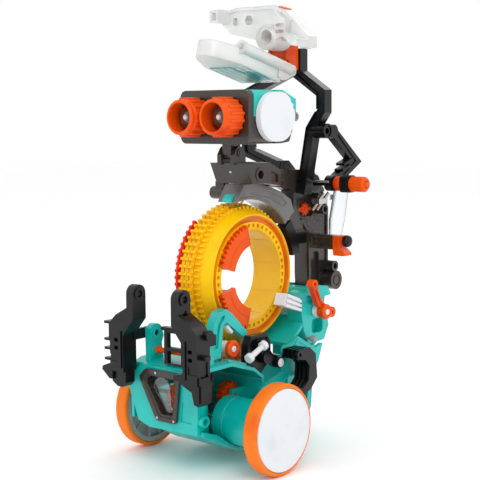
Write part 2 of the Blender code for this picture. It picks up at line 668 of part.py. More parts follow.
def lower_jaw():
    """The scoop with its rolled rim, drawn level and then tilted."""
    plan = [(13, 68), (13, 22), (9, 12), *arc((-4, 9), 11, -10, -150, 5), (-24, 25), (-24, 68)]
    inner = [(10, 65), (10, 24), (6, 14), *arc((-4, 10), 8, -10, -150, 4), (-21, 26), (-21, 65)]
    lug = [(64, 271), (64, 284), (80.3, 284), *arc(LOWER_JAW, 4.2, 80, -80, 5), (74, 271)]
    pieces = [prism("Z", plan, 267, 280), disc((13.2, 280), 4.2, 19, 78, 12, "Y"), prism("X", lug, 9.5, 14)]
    holes = [prism("Z", inner, 269.4, 286), disc(LOWER_JAW, 2.1, 6, 22, 10)]
    solid("jaw_lower", "clear", [pitched(piece) for piece in pieces], [pitched(hole) for hole in holes],
          axis=LOWER_JAW)


def upper_jaw():
    """The wide upper beam with its prongs, round boss and hexagonal hole."""
    beam = [(-45, 317), (-45, 326), (-38, 326.5), (-28, 328), (5.6, 327.7), (16, 324), (24, 316),
            (37, 304), (37, 296), (31, 295), (22, 303), (5, 300), (-10, 303), (-36, 309)]
    pieces = [
        prism("Y", beam, 66, 79),
        prism("Y", [(-45, 317), (-45, 326), (-37, 326.5), (-37, 316)], 54, 68),
        prism("Y", [(31, 297), (31, 304), (37, 301), (37, 296)], 54, 68),
        disc((4.5, 304), 9.5, 60, 79, 18, "Y"),
        prism("X", [(78, 306), (78, 313), *arc(UPPER_JAW, 3.2, 80, -80, 6)], -4.9, 4.9),
    ]
    holes = [disc((4.5, 304), 5.4, 50, 72, 12, "Y"), disc((-18, 318), 4, 50, 90, 6, "Y"),
             disc(UPPER_JAW, 2.0, -10, 10, 10)]
    solid("jaw_upper", "clear", pieces, holes, axis=UPPER_JAW)


# ---------------------------------------------------------------- front arms and levers


def front_arms():
    """The two grabber arms: eye plate, slanted shoulder, body, foot, hook and pivot lug; one has fins."""
    eye_centre = (-53.5, 125.5)
    eye = [(-60, 108), (-60, 125.5), *arc(eye_centre, 6.5, 170, 10, 8), (-47, 125.5), (-47, 108)]
    shoulder_plate = [(18, 108), (18, 116), (24, 116), (35, 110), (41, 104), (41, 96), (28, 96)]
    foot = [(24, 70), (28, 77), (41, 77), (44, 71), (44, 58.5), (41, 56), (37, 57), (35, 65), (28, 68)]
    ends = {
        "left": [
            prism("Y", foot, -59, -49),
            prism("Y", [(19, 72), (20, 75), (30, 77), (30, 70)], -60, -50),
            disc((-50, 103), 3.6, 40, 44, 12),
            box((40, 46), (-56, -52), (87, 90)),
        ],
        "right": [
            prism("Y", [(28, 62), (28, 74), (41, 74), (41, 62), (36, 59), (31, 59)], -58, -49),
            prism("Y", [(39, 76), (48.5, 72.5), (49.5, 70), (42, 64), (39, 64)], -60, -50),
            *(box((40, 46.5), (-60, -49), (z, z + 1.8)) for z in (77, 84.5, 91, 103)),
            box((40, 44), (-58, -50), (92, 104)),
        ],
    }
    for side, mirror in sides():
        pieces = [
            prism("X", eye, 18, 24),
            prism("Y", shoulder_plate, -60, -47),
            box((28, 41), (-60, -47), (70, 100)),
            box((27, 30), (-50, -28), (91.5, 99)),
            disc(ARM_PIVOT, 1.7, 22, 28, 10),
            *ends[side],
        ]
        holes = [disc(eye_centre, 2.6, 10, 30, 10)]
        holes += [box((33, 36.5), (-70, -40), (z, z + 2.6)) for z in (85.5, 91)]
        solid("front_arm_" + side, "black", pieces, holes, axis=ARM_PIVOT, mirror=mirror)


def arm_rod():
    """The rod between the two lugs that the front arms hang from."""
    solid("arm_rod", "red_orange", [disc((-33, 83), 1.9, -28, 28, 10)])


def latch_frame():
    """The small square frame on the deck between the arms."""
    solid("latch_frame", "black", [box((-7, 12), (-41, -37), (75.9, 101))],
          [box((-3.8, 8.8), (-44, -34), (88, 98)), box((-3.8, 8.8), (-44, -34), (77, 85.2))])


def follower():
    """The follower block that reads the code segments, its lever and its capped pins."""
    block = [(8, 70.8), (8, 84), (12, 91), (30, 91), (34, 84), (34, 71), (22, 62.3), (12, 69.6)]
    solid("follower_block", "black", [prism("X", block, 21.5, 28.5)], [disc(LEVER_PIVOT, 2.0, 10, 30, 10)])
    lever = strip([(18, 86), LEVER_PIVOT, (36, 69)], 8)
    pieces = [prism("X", lever, 29, 33), disc(LEVER_PIVOT, 1.6, 22, 30, 10), disc((36, 69), 4, 29, 36, 12)]
    solid("follower_lever", "black", pieces, axis=LEVER_PIVOT)
    pin = disc((0, 0), 1.8, -12, 12, 10, "Y")
    caps = [disc((0, 0), 3.3, -13, -9, 12, "Y"), disc((0, 0), 3.3, 9, 13, 12, "Y")]
    for part in (pin, *caps):
        part.data.transform(Matrix.Rotation(math.radians(16), 4, "X"))
        part.data.transform(Matrix.Translation((37 * MM, 8 * MM, 82 * MM)))
    solid("follower_pin", "white", [pin, *caps, box((33.3, 37), (14.5, 19.5), (82.3, 87))], axis=LEVER_PIVOT)


def comb_lever():
    """The ribbed shift lever: four C-shaped ribs on a cross shaft."""
    rib = [(36, 73), (37, 79.5), (52, 79.5), (59, 74), (61, 56), (53, 48.5), (44, 45.5), (31, 50), (32.5, 54),
           (44, 50.5), (50.5, 56), (51.5, 66), (47, 71)]
    ribs = [prism("X", rib, x, x + 2) for x in (37, 40.8, 44.6, 48.4)]
    pieces = [box((36.9, 50.4), (52.5, 56.5), (54, 72)), *ribs, disc(COMB_PIVOT, 2.8, 32.6, 50.4, 12),
              disc(COMB_PIVOT, 1.7, 29, 34, 10)]
    solid("comb_lever", "black", pieces, axis=COMB_PIVOT)


def rear_link():
    """The capped sleeve on the rear bracket and the link on it."""
    link = strip([(74, 122), (82, 107), (93, 99)], 5.5)
    pieces = [
        disc(LINK_PIVOT, 1.7, 24, 30, 10),
        disc(LINK_PIVOT, 4.8, 28.8, 34, 12),
        prism("X", link, 33.6, 37.5),
        disc(LINK_PIVOT, 6, 33.6, 41, 14),
        disc((74, 122), 3.4, 33.6, 39, 10),
        disc((95, 98.5), 4, 33.6, 40, 10),
    ]
    solid("rear_link", "red_orange", pieces, axis=LINK_PIVOT)


def main():
    clear_scene()
    frame_empty()
    for build in (floor_pan, front_housing, window_bezel, motor_pods, side_frames, rear_tower, rear_skid,
                  caster_wheel, axle_rod, gears, wheels, ring_drum, ring_trim, rollers, roller_brackets,
                  chest_block, hood, spine, guide_strip, bracket_bar, clear_plate, steel_rods,
                  head_shells, ears, eyes, booms, shoulder, bell_crank, claw_mount, lower_jaw, upper_jaw,
                  front_arms, arm_rod, latch_frame, follower, comb_lever, rear_link):
        build()


main()
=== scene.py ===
"""The visual model of the two-wheeled coding robot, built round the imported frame.

Working axes, in millimetres: X is lateral with the robot's left at +X, the robot faces -Y and +Z is up.
The ground is z = 0 and the wheel axle lies above y = 0. Every piece is moved into the frame's own axes
when it is made.
"""

import json
import math

import bmesh
import bpy
from mathutils import Matrix, Vector


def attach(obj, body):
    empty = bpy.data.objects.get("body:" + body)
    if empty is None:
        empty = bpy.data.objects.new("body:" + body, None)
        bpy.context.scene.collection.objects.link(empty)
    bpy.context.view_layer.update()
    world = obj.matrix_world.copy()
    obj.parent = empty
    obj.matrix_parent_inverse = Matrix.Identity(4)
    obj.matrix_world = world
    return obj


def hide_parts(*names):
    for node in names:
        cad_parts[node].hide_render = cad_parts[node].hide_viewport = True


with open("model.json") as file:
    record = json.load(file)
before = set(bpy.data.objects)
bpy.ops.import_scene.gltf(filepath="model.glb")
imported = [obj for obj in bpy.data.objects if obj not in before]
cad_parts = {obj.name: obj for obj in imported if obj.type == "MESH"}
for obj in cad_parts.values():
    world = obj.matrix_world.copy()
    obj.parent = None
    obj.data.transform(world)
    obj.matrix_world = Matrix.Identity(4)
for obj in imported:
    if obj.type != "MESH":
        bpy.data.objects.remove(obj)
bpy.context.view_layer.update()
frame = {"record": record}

# Millimetres to metres, the gap between neighbours, and how much finer the round pieces are cut
MM = 0.001
GAP = 0.3
SMOOTH = 3

# Angles, in degrees, from which an edge is rounded and from which it is shaded sharp
ROUND_FROM = 32
SHARP_FROM = 50

# Texture scales: mottled colour, uneven gloss and fine grain
MOTTLE_SCALE = 45.0
GLOSS_SCALE = 160.0
GRAIN_SCALE = 2600.0

# Wheels
WHEEL_RADIUS = 32.0
TYRE_INNER = 55.5
RIM_RADIUS = 29.0
AXLE = (0.0, WHEEL_RADIUS)

# Coding ring, which turns about a lateral axis at (y, z)
RING = (33.0, 130.8)
RING_BORE = 33.9
RING_ROOT = 50.0
RING_TIP = 52.3
RING_TEETH = 60
RING_NEAR = 13.0
BAND_BORE = 46.0
RING_FAR = -14.0
PINION = (33.0, 70.4)
PINION_TEETH = 10
PINION_TIP = 9.6
ROLLER_RADIUS = 5.0
FRONT_ROLLER = (-3.0, 84.0)
REAR_ROLLER = (82.5, 99.8)

# Head and its nodding hinge
HEAD_HALF = 32.0
HEAD_LOW = 227.0
HEAD_HIGH = 265.0
HEAD_FRONT = 6.0
HEAD_LIP = 11.5
HEAD_SEAM = 246.0
HEAD_SPLIT = 36.0
HEAD_BACK = 60.0
NECK = (25.0, 220.5)
EYE_X = 15.5
EYE_Z = 246.0
EYE_FRONT = -13.5
EAR = (35.0, 246.0)

# Overhead arm: shoulder shaft, booms and claw
SHOULDER = (110.0, 195.0)
BOOM_FRONT = 93.5
BOOM_BACK = 102.5
BOOM_WIDTH = 8
CHANNEL_WIDTH = 4.6
CHANNEL_DEPTH = 1.6
LOWER_JAW = (80.3, 280.0)
UPPER_JAW = (84.5, 309.0)
JAW_PITCH = 14.5

# Hinges of the smaller levers, each (y, z) on a lateral axis
ARM_PIVOT = (-33.0, 95.0)
ARM_ROD = (-33.0, 83.0)
LEVER_PIVOT = (24.0, 75.0)
COMB_PIVOT = (50.0, 74.0)
LINK_PIVOT = (88.0, 99.5)
CASTER = (83.5, 9.5)
DRIVE_GEAR = (-22.0, 50.0)
IDLER_GEAR = (11.5, 46.0)

# The footprint's centre along y in the working axes
CENTRE_Y = 43.86

# The camera: angles in degrees, lens and distances in millimetres
CAMERA_TURN = 39.896
CAMERA_RISE = 6.239
CAMERA_TILT = -0.428
CAMERA_LENS = 85.433
CAMERA_SENSOR = 36
CAMERA_AIM = (16.70, 13.98, 159.03)
CAMERA_DISTANCE = 809.84

# The floor's half width and how far it lies under the wheels
FLOOR_HALF = 4000
FLOOR_DROP = 0.4

RECORD = frame["record"]
BODY_OF = {node: body for body, nodes in RECORD["behaviour"]["bodies"].items() for node in nodes}
SLOT_OF = {part["node"]: part["material_slot"] for part in RECORD["subparts"]}
MATERIALS = {}

# The two sides of the robot, as a name and whether the piece is mirrored
SIDES = (("left", False), ("right", True))

# Colour, darker tone, roughness, bump distance in metres, clear coat and shine of each moulded plastic
PLASTICS = {
    "teal": ((0.0, 0.50, 0.45), (0.0, 0.43, 0.39), 0.34, 0.00004, 0.20, 0.40),
    "orange": ((0.95, 0.20, 0.02), (0.80, 0.13, 0.01), 0.38, 0.00004, 0.15, 0.40),
    "tyre": ((0.95, 0.20, 0.012), (0.80, 0.13, 0.008), 0.58, 0.00008, 0.0, 0.22),
    "red_orange": ((0.80, 0.085, 0.001), (0.60, 0.036, 0.0), 0.34, 0.00003, 0.08, 0.16),
    "red": ((0.80, 0.022, 0.002), (0.60, 0.012, 0.001), 0.34, 0.00003, 0.08, 0.18),
    "yellow": ((0.93, 0.54, 0.001), (0.80, 0.40, 0.0), 0.38, 0.00004, 0.06, 0.16),
    "groove": ((0.88, 0.26, 0.008), (0.70, 0.17, 0.005), 0.40, 0.00003, 0.10, 0.35),
    "charcoal": ((0.034, 0.026, 0.021), (0.020, 0.016, 0.013), 0.26, 0.00005, 0.35, 0.35),
    "cowl": ((0.11, 0.105, 0.10), (0.06, 0.056, 0.052), 0.16, 0.00003, 0.6, 0.50),
    "black": ((0.004, 0.004, 0.005), (0.002, 0.002, 0.003), 0.30, 0.00005, 0.15, 0.25),
    "white": ((0.74, 0.76, 0.79), (0.67, 0.70, 0.74), 0.42, 0.00003, 0.10, 0.35),
}


def noise(tree, scale, detail, vector):
    """A noise texture that follows the piece's own axes."""
    node = tree.nodes.new("ShaderNodeTexNoise")
    node.inputs["Scale"].default_value = scale
    node.inputs["Detail"].default_value = detail
    tree.links.new(vector, node.inputs["Vector"])
    return node


def surface(name, base, dark, roughness, bump, coat, shine=0.4, metallic=0.0, transmission=0.0):
    """A moulded surface: mottled colour, uneven gloss and a fine grain."""
    made = bpy.data.materials.new(name)
    made.use_nodes = True
    tree = made.node_tree
    shader = tree.nodes["Principled BSDF"]
    place = tree.nodes.new("ShaderNodeTexCoord").outputs["Object"]
    cloud = noise(tree, MOTTLE_SCALE, 4.0, place)
    tones = tree.nodes.new("ShaderNodeValToRGB")
    tones.color_ramp.elements[0].position = 0.30
    tones.color_ramp.elements[0].color = (*dark, 1.0)
    tones.color_ramp.elements[1].position = 0.52
    tones.color_ramp.elements[1].color = (*base, 1.0)
    tree.links.new(cloud.outputs["Fac"], tones.inputs["Fac"])
    tree.links.new(tones.outputs["Color"], shader.inputs["Base Color"])
    patches = noise(tree, GLOSS_SCALE, 3.0, place)
    gloss = tree.nodes.new("ShaderNodeMapRange")
    gloss.inputs["To Min"].default_value = roughness * 0.75
    gloss.inputs["To Max"].default_value = min(1.0, roughness * 1.3)
    tree.links.new(patches.outputs["Fac"], gloss.inputs["Value"])
    tree.links.new(gloss.outputs["Result"], shader.inputs["Roughness"])
    grain = noise(tree, GRAIN_SCALE, 2.0, place)
    relief = tree.nodes.new("ShaderNodeBump")
    relief.inputs["Strength"].default_value = 0.35
    relief.inputs["Distance"].default_value = bump
    tree.links.new(grain.outputs["Fac"], relief.inputs["Height"])
    tree.links.new(relief.outputs["Normal"], shader.inputs["Normal"])
    shader.inputs["Metallic"].default_value = metallic
    shader.inputs["Coat Weight"].default_value = coat
    shader.inputs["Coat Roughness"].default_value = 0.18
    shader.inputs["Transmission Weight"].default_value = transmission
    shader.inputs["Specular IOR Level"].default_value = shine
    made.diffuse_color = (*base, 1.0)
    MATERIALS[name] = made


def make_materials():
    """Every look, by name."""
    for name, look in PLASTICS.items():
        surface(name, *look)
    surface("steel", (0.60, 0.60, 0.60), (0.45, 0.45, 0.45), 0.22, 0.00002, 0.0, metallic=1.0)
    surface("frosted", (0.92, 0.93, 0.91), (0.84, 0.88, 0.87), 0.22, 0.00004, 0.3, transmission=0.5)
    surface("underside", (0.50, 0.72, 0.73), (0.40, 0.64, 0.66), 0.30, 0.00004, 0.3, transmission=0.25)
    surface("hub", (0.52, 0.54, 0.52), (0.42, 0.44, 0.43), 0.35, 0.00004, 0.2, transmission=0.25)
    surface("sheet", (0.97, 0.98, 1.0), (0.92, 0.95, 0.98), 0.08, 0.00001, 0.1, transmission=0.97)
    surface("smoke", (0.42, 0.45, 0.44), (0.32, 0.35, 0.34), 0.14, 0.00002, 0.4, transmission=0.5)
    surface("amber", (0.92, 0.56, 0.008), (0.88, 0.51, 0.006), 0.30, 0.00003, 0.15, 0.2, transmission=0.15)
    surface("tab_teal", (0.10, 0.42, 0.45), (0.07, 0.34, 0.37), 0.30, 0.00004, 0.3)
    surface("socket", (0.05, 0.04, 0.037), (0.03, 0.025, 0.022), 0.12, 0.00002, 0.8)
    # A pale tone for small domes; in each eye it is a painted highlight on the lens.
    surface("lamp", (0.70, 0.66, 0.58), (0.55, 0.50, 0.43), 0.10, 0.00002, 1.0)


def stock(bm):
    """A scratch object from a closed bmesh in millimetres; its faces are turned outwards."""
    bmesh.ops.remove_doubles(bm, verts=bm.verts, dist=0.001)
    bmesh.ops.recalc_face_normals(bm, faces=bm.faces)
    mesh = bpy.data.meshes.new("stock")
    bmesh.ops.scale(bm, vec=(MM, MM, MM), verts=bm.verts)
    bm.to_mesh(mesh)
    bm.free()
    piece = bpy.data.objects.new("stock", mesh)
    bpy.context.scene.collection.objects.link(piece)
    return piece


def prism(outline, low, high, axis="X"):
    """Extrudes a closed outline along X, Y or Z. Its points are (y, z), (x, z) or (x, y)."""
    place = {
        "X": lambda p, d: (d, p[0], p[1]),
        "Y": lambda p, d: (p[0], d, p[1]),
        "Z": lambda p, d: (p[0], p[1], d),
    }[axis]
    bm = bmesh.new()
    face = bm.faces.new([bm.verts.new(place(p, low)) for p in outline])
    moved = bmesh.ops.extrude_face_region(bm, geom=[face])["geom"]
    tops = [v for v in moved if isinstance(v, bmesh.types.BMVert)]
    step = Vector(place((0, 0), high)) - Vector(place((0, 0), low))
    bmesh.ops.translate(bm, vec=step, verts=tops)
    return stock(bm)


def box(x, y, z):
    """A block between the two values given for each axis."""
    bm = bmesh.new()
    corners = [bm.verts.new((a, b, c)) for a in x for b in y for c in z]
    for face in ((0, 1, 3, 2), (4, 6, 7, 5), (0, 4, 5, 1), (2, 3, 7, 6), (0, 2, 6, 4), (1, 5, 7, 3)):
        bm.faces.new([corners[i] for i in face])
    return stock(bm)


def polar(centre, radius, angle):
    """The point of a circle at that angle, in radians."""
    return centre[0] + radius * math.cos(angle), centre[1] + radius * math.sin(angle)


def arc(centre, radius, start, end, steps):
    """Points of an arc from one angle to the other, in degrees."""
    fine = steps * SMOOTH
    return [polar(centre, radius, math.radians(start + (end - start) * i / fine)) for i in range(fine + 1)]


def eased(outline, radius, steps=4):
    """The outline with its corners rounded off."""
    points = []
    for i, corner in enumerate(outline):
        here = Vector(corner)
        before = Vector(outline[i - 1]) - here
        after = Vector(outline[(i + 1) % len(outline)]) - here
        start = here + before.normalized() * min(radius, before.length * 0.45)
        end = here + after.normalized() * min(radius, after.length * 0.45)
        for step in range(steps + 1):
            t = step / steps
            points.append(tuple(start * (1 - t) ** 2 + here * 2 * t * (1 - t) + end * t * t))
    return points


def disc(centre, radius, low, high, sides=12, axis="X"):
    """A cylinder along one axis; six sides make a hexagon."""
    fine = sides if sides == 6 else sides * SMOOTH
    return prism([polar(centre, radius, 2 * math.pi * i / fine) for i in range(fine)], low, high, axis)


def studs(centre, reach, angles, radius, low, high, sides=8, axis="X"):
    """Small cylinders set round a centre at those angles, in radians."""
    return [disc(polar(centre, reach, a), radius, low, high, sides, axis) for a in angles]


def both(outline, low, high):
    """A lateral extrusion on the robot's left, and its mirror image on the right."""
    return [prism(outline, low, high), prism(outline, -high, -low)]


def turned(profile, centre, steps):
    """Turns a closed (x, radius) profile about a lateral axis through (y, z)."""
    fine = steps * SMOOTH
    bm = bmesh.new()
    loops = []
    for i in range(fine):
        angle = 2 * math.pi * i / fine
        loops.append([bm.verts.new((x, *polar(centre, r, angle))) for x, r in profile])
    for i, here in enumerate(loops):
        there = loops[(i + 1) % fine]
        for j in range(len(profile)):
            k = (j + 1) % len(profile)
            if profile[j][1] > 0 or profile[k][1] > 0:
                bm.faces.new((here[j], here[k], there[k], there[j]))
    bmesh.ops.dissolve_degenerate(bm, dist=0.0001, edges=bm.edges)
    return stock(bm)


def turned_y(profile, centre, steps):
    """Turns a closed (y, radius) profile about a fore-and-aft axis through (x, z)."""
    piece = turned(profile, (0, 0), steps)
    for vertex in piece.data.vertices:
        x, y, z = vertex.co
        vertex.co = (centre[0] * MM - y, x, centre[1] * MM + z)
    return piece


def tube(centre, inner, outer, low, high, steps):
    """A lateral tube."""
    return turned([(low, inner), (low, outer), (high, outer), (high, inner)], centre, steps)


def placed(piece, angle, axis, place):
    """Turns a scratch piece by that angle, in degrees, and then moves it, in millimetres."""
    piece.data.transform(Matrix.Rotation(math.radians(angle), 4, axis))
    piece.data.transform(Matrix.Translation([value * MM for value in place]))
    return piece


def ring_of(count, start, make):
    """Copies of a small piece that turn about the ring's axis, joined as one loose scratch object."""
    bm = bmesh.new()
    for i in range(count):
        piece = make()
        piece.data.transform(Matrix.Translation((0, -RING[0] * MM, -RING[1] * MM)))
        placed(piece, start + 360 / count * i, "X", (0, *RING))
        bm.from_mesh(piece.data)
        bpy.data.objects.remove(piece)
    bmesh.ops.scale(bm, vec=(1 / MM, 1 / MM, 1 / MM), verts=bm.verts)
    return stock(bm)


def tooth_row(centre, start, step, teeth, corners):
    """Points of a row of teeth; each corner of a tooth is a radius and its share of the step."""
    return [polar(centre, radius, math.radians(start + step * (i + share)))
            for i in range(teeth) for radius, share in corners]


def toothed(centre, root, tip, teeth):
    """The outline of a spur gear with tapered teeth, half a pitch wide at their roots."""
    return tooth_row(centre, 0, 360 / teeth, teeth,
                     ((root, -0.25), (tip, -0.15), (tip, 0.15), (root, 0.25)))


def sector(centre, inner, root, tip, start, end, teeth):
    """The outline of a ring sector whose outer edge carries teeth."""
    outer = tooth_row(centre, start, (end - start) / teeth, teeth,
                      ((root, 0.1), (tip, 0.25), (tip, 0.6), (root, 0.75)))
    return outer + arc(centre, inner, end, start, max(4, teeth // 2))


def strip(points, width):
    """The outline of a bar of one width along a bent centre line, with mitred corners."""
    left, right = [], []
    for i, point in enumerate(points):
        here = Vector(point)
        before = (here - Vector(points[i - 1])).normalized() if i else None
        after = (Vector(points[i + 1]) - here).normalized() if i + 1 < len(points) else None
        before = before or after
        after = after or before
        along = (before + after).normalized()
        normal = Vector((-along.y, along.x))
        reach = width / 2 / max(0.3, normal.dot(Vector((-after.y, after.x))))
        left.append(tuple(here + normal * reach))
        right.append(tuple(here - normal * reach))
    return left + right[::-1]


def rounded(x, z, radius, steps=4):
    """The outline of a rectangle with rounded corners."""
    corners = ((x[1] - radius, z[1] - radius, 0), (x[0] + radius, z[1] - radius, 90),
               (x[0] + radius, z[0] + radius, 180), (x[1] - radius, z[0] + radius, 270))
    points = []
    for cx, cz, start in corners:
        points += arc((cx, cz), radius, start, start + 90, steps)
    return points


def evaluated(piece):
    """The piece's mesh with its modifiers applied."""
    graph = bpy.context.evaluated_depsgraph_get()
    return bpy.data.meshes.new_from_object(piece.evaluated_get(graph))


def solid(name, look, pieces, holes=(), body=None, nodes=None, slot=None, mirror=False, soft=0.5):
    """Joins the pieces, cuts the holes, rounds the edges and puts the result in the frame."""
    nodes = (name,) if nodes is None else nodes
    body = body or BODY_OF[nodes[0]]
    slot = slot or SLOT_OF[nodes[0]]
    first = pieces[0]
    for operation, others in (("UNION", pieces[1:]), ("DIFFERENCE", holes)):
        for other in others:
            modifier = first.modifiers.new(operation, "BOOLEAN")
            modifier.operation = operation
            modifier.object = other
    mesh = evaluated(first)
    for used in [*pieces, *holes]:
        bpy.data.objects.remove(used)
    mesh.transform(Matrix.Translation((0, -CENTRE_Y * MM, 0)))
    if mirror:
        mesh.transform(Matrix.Scale(-1, 4, (1, 0, 0)))
        mesh.flip_normals()
    mesh.materials.clear()
    made = bpy.data.objects.new(name + "_skin", mesh)
    bpy.context.scene.collection.objects.link(made)
    if soft:
        bevel = made.modifiers.new("edges", "BEVEL")
        bevel.width = soft * MM
        bevel.segments = 2
        bevel.limit_method = "ANGLE"
        bevel.angle_limit = math.radians(ROUND_FROM)
        made.data = evaluated(made)
        made.modifiers.clear()
    made.data.shade_smooth()
    made.data.set_sharp_from_angle(angle=math.radians(SHARP_FROM))
    made.data.materials.append(MATERIALS[look])
    normals = made.modifiers.new("normals", "WEIGHTED_NORMAL")
    normals.keep_sharp = True
    if nodes:
        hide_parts(*nodes)
    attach(made, body)
    return made


def extra(name, look, pieces, holes=(), body="chassis", slot=None, mirror=False, soft=0.3):
    """A visible piece that stands for no node; its slot argument, the look's name by default, is not used.
    """
    return solid(name, look, pieces, holes, body, (), slot or look, mirror, soft)


def floor_pan():
    """The tub's floor, which rises towards the front, with its ribs, bulkhead and gear bearings."""
    profile = [(-40.5, 29.5), (-28, 25), (-12, 15.6), (-3, 11.4), (20, 9), (72, 9), (72, 24), (69, 24),
               (69, 12.5), (20, 12.5), (-3, 14.2), (-12, 18.6), (-26, 27.8), (-40.5, 32.8)]
    ribs = [box((x - 1, x + 1), (24, 70), (11, 18)) for x in (-18, 0, 18)]
    ribs += [box((x - 0.7, x + 0.7), (0, 24), (11.8, 14.4)) for x in (-24, -14, -4, 6, 16, 24)]
    bulkhead = box((-28.4, 28.4), (23.5, 26), (10, 58))
    drive_post = [(-28, 27), (-28, 50), (-22, 55), (-16, 50), (-14, 18)]
    idler_post = [(7, 41), (7, 51), (24, 51), (24, 41)]
    pinion_post = [(23.5, 44), (23.5, 57), (28, 75.5), (38, 75.5), (38, 66), (30, 60), (26, 46)]
    posts = [
        prism(drive_post, 8.6, 10.6),
        prism(idler_post, -1.6, 0.6),
        prism(idler_post, 11.4, 13.6),
        prism(pinion_post, -18.2, -16.2),
        prism(pinion_post, 10.2, 12.2),
    ]
    holes = [disc(DRIVE_GEAR, 1.9, 8, 11), disc(IDLER_GEAR, 2.1, -2, 14), disc(PINION, 2.9, -19, 13)]
    holes += [disc((x, y), 2.2, 7, 10.5, 12, "Z") for x in (-21, 21) for y in (30, 64)]
    solid("floor_pan", "teal", [prism(profile, -28.4, 28.4), *ribs, bulkhead, *posts], holes, soft=0.4)


def front_housing():
    """The front face with its roof, side cheeks, tube socket, roller post and front arm lugs."""
    face = [(-30, 33), (-19, 29.5), (26, 30.5), (27, 60), (24, 72.5), (-25, 74), (-36, 68), (-39.5, 58)]
    roof_line = [(-41.5, 74), (-34, 76.5), (-12, 76.5), (12, 69), (23, 61)]
    roof = roof_line + [(y, z - 2.6) for y, z in reversed(roof_line)]
    cheek = [(-43, 34), (-43, 73), (-34, 75), (-12, 75), (12, 68), (18, 63), (18, 51), (-18, 51), (-24, 34)]
    socket = (-39.5, 40)
    post = [(-43, 33.3), (-43, 72), (-36, 75), (-33, 75), (-37, 33.3)]
    lug = [(-39, 75), (-39.5, 98.5), *arc(ARM_PIVOT, 6.5, 150, 20, 6), (-25.5, 92), (-27.5, 87), (-26, 75)]
    pieces = [
        prism(face, -44, -41, "Y"),
        prism(roof, -36, 30.5),
        prism(cheek, -37.5, -35),
        prism(post, 23.5, 26.2),
        disc(socket, 3.9, 20, 30, 16),
        *both(lug, 21.8, 26.5),
        box((-0.8, 2.8), (-6, 0), (72.5, 87.5)),
        disc(ARM_PIVOT, 4.2, 21, 21.9, 14),
        disc(ARM_ROD, 4.2, 21, 21.9, 14),
        disc(ARM_ROD, 4.2, -21.9, -21, 14),
        disc(ARM_PIVOT, 4.2, -21.9, -21, 14),
        *(prism(strip([(-12, 77.5), (12, 70)], 2), low, low + 3) for low in (24, -34)),
    ]
    window = [(-23, 64), (-18.5, 69), (8.5, 69), (5.5, 39.5), (-8, 39.5)]
    label = [(11, 38), (21.5, 38), (22, 52), (12.5, 52)]
    holes = [
        prism(window, -46, -38, "Y"),
        disc(socket, 2.4, 26, 32, 12),
        disc(ARM_PIVOT, 2.2, -30, 30),
        disc(ARM_ROD, 2.3, -30, 30),
        disc(DRIVE_GEAR, 1.9, -40, -33),
        disc(FRONT_ROLLER, 2.1, -2, 4),
        prism(label, -45, -43.3, "Y"),
    ]
    solid("front_housing", "teal", pieces, holes, soft=0.8)


def window_bezel():
    """The dark frame round the gear window, with its screws and the clear gear guard."""
    outer = eased([(-27, 65.5), (-20, 72), (12.5, 72), (8.5, 36), (-10.5, 36)], 2.5)
    inner = eased([(-20.5, 62.8), (-16.8, 66.8), (7.3, 66.8), (4.3, 41), (-6.6, 41)], 2)
    step = eased([(-22.6, 64), (-18.2, 68.4), (8.8, 68.4), (5.7, 39.4), (-7.8, 39.4)], 2)
    solid("window_bezel", "charcoal", [prism(outer, -46.5, -44.3, "Y")],
          [prism(inner, -48, -42, "Y"), prism(step, -48, -45.4, "Y")], soft=0.4)
    sleeve = eased([(-22.5, 63.7), (-18.2, 68.6), (8.1, 68.6), (5.2, 39.8), (-7.7, 39.8)], 2)
    extra("window_sleeve", "charcoal", [prism(sleeve, -44.4, -38, "Y")], [prism(inner, -48, -30, "Y")],
          soft=0)
    for number, (x, z) in enumerate(((-10, 69.9), (6.6, 38), (-9, 38.4))):
        extra(f"bezel_screw_{number}", "steel", [disc((x, z), 0.9, -46.9, -46.2, 10, "Y")],
              [box((x - 0.8, x + 0.8), (-47.2, -46.7), (z - 0.15, z + 0.15))], soft=0)
    guard = [(-17, 58), *arc((-9, 58), 8, 170, 20, 4), (0, 52), (0, 42), (-4, 42)]
    extra("window_guard", "sheet", [prism(guard, -41.6, -40.6, "Y")], slot="clear", soft=0.2)
    gear_box = [(-24, 66), (9, 66), (6, 38), (-9, 38)]
    extra("window_lining", "charcoal", [prism(gear_box, -8, -6.4, "Y")])


def motor_pods():
    """The drum on each side that holds a gear motor, round the wheel axle."""
    for side, mirror in SIDES:
        shell = turned([(14.5, 3), (14.5, 16.4), (15.6, 17), (24, 17), (24.2, 16.5), (24.6, 16.5),
                        (24.8, 17),
                        (44, 17), (44.2, 16.5), (44.6, 16.5), (44.8, 17), (49.5, 17), (52.5, 15),
                        (52.5, 8), (51.6, 8), (51.6, 3)], AXLE, 28)
        solid("motor_pod_" + side, "teal", [shell], mirror=mirror, soft=0.15)


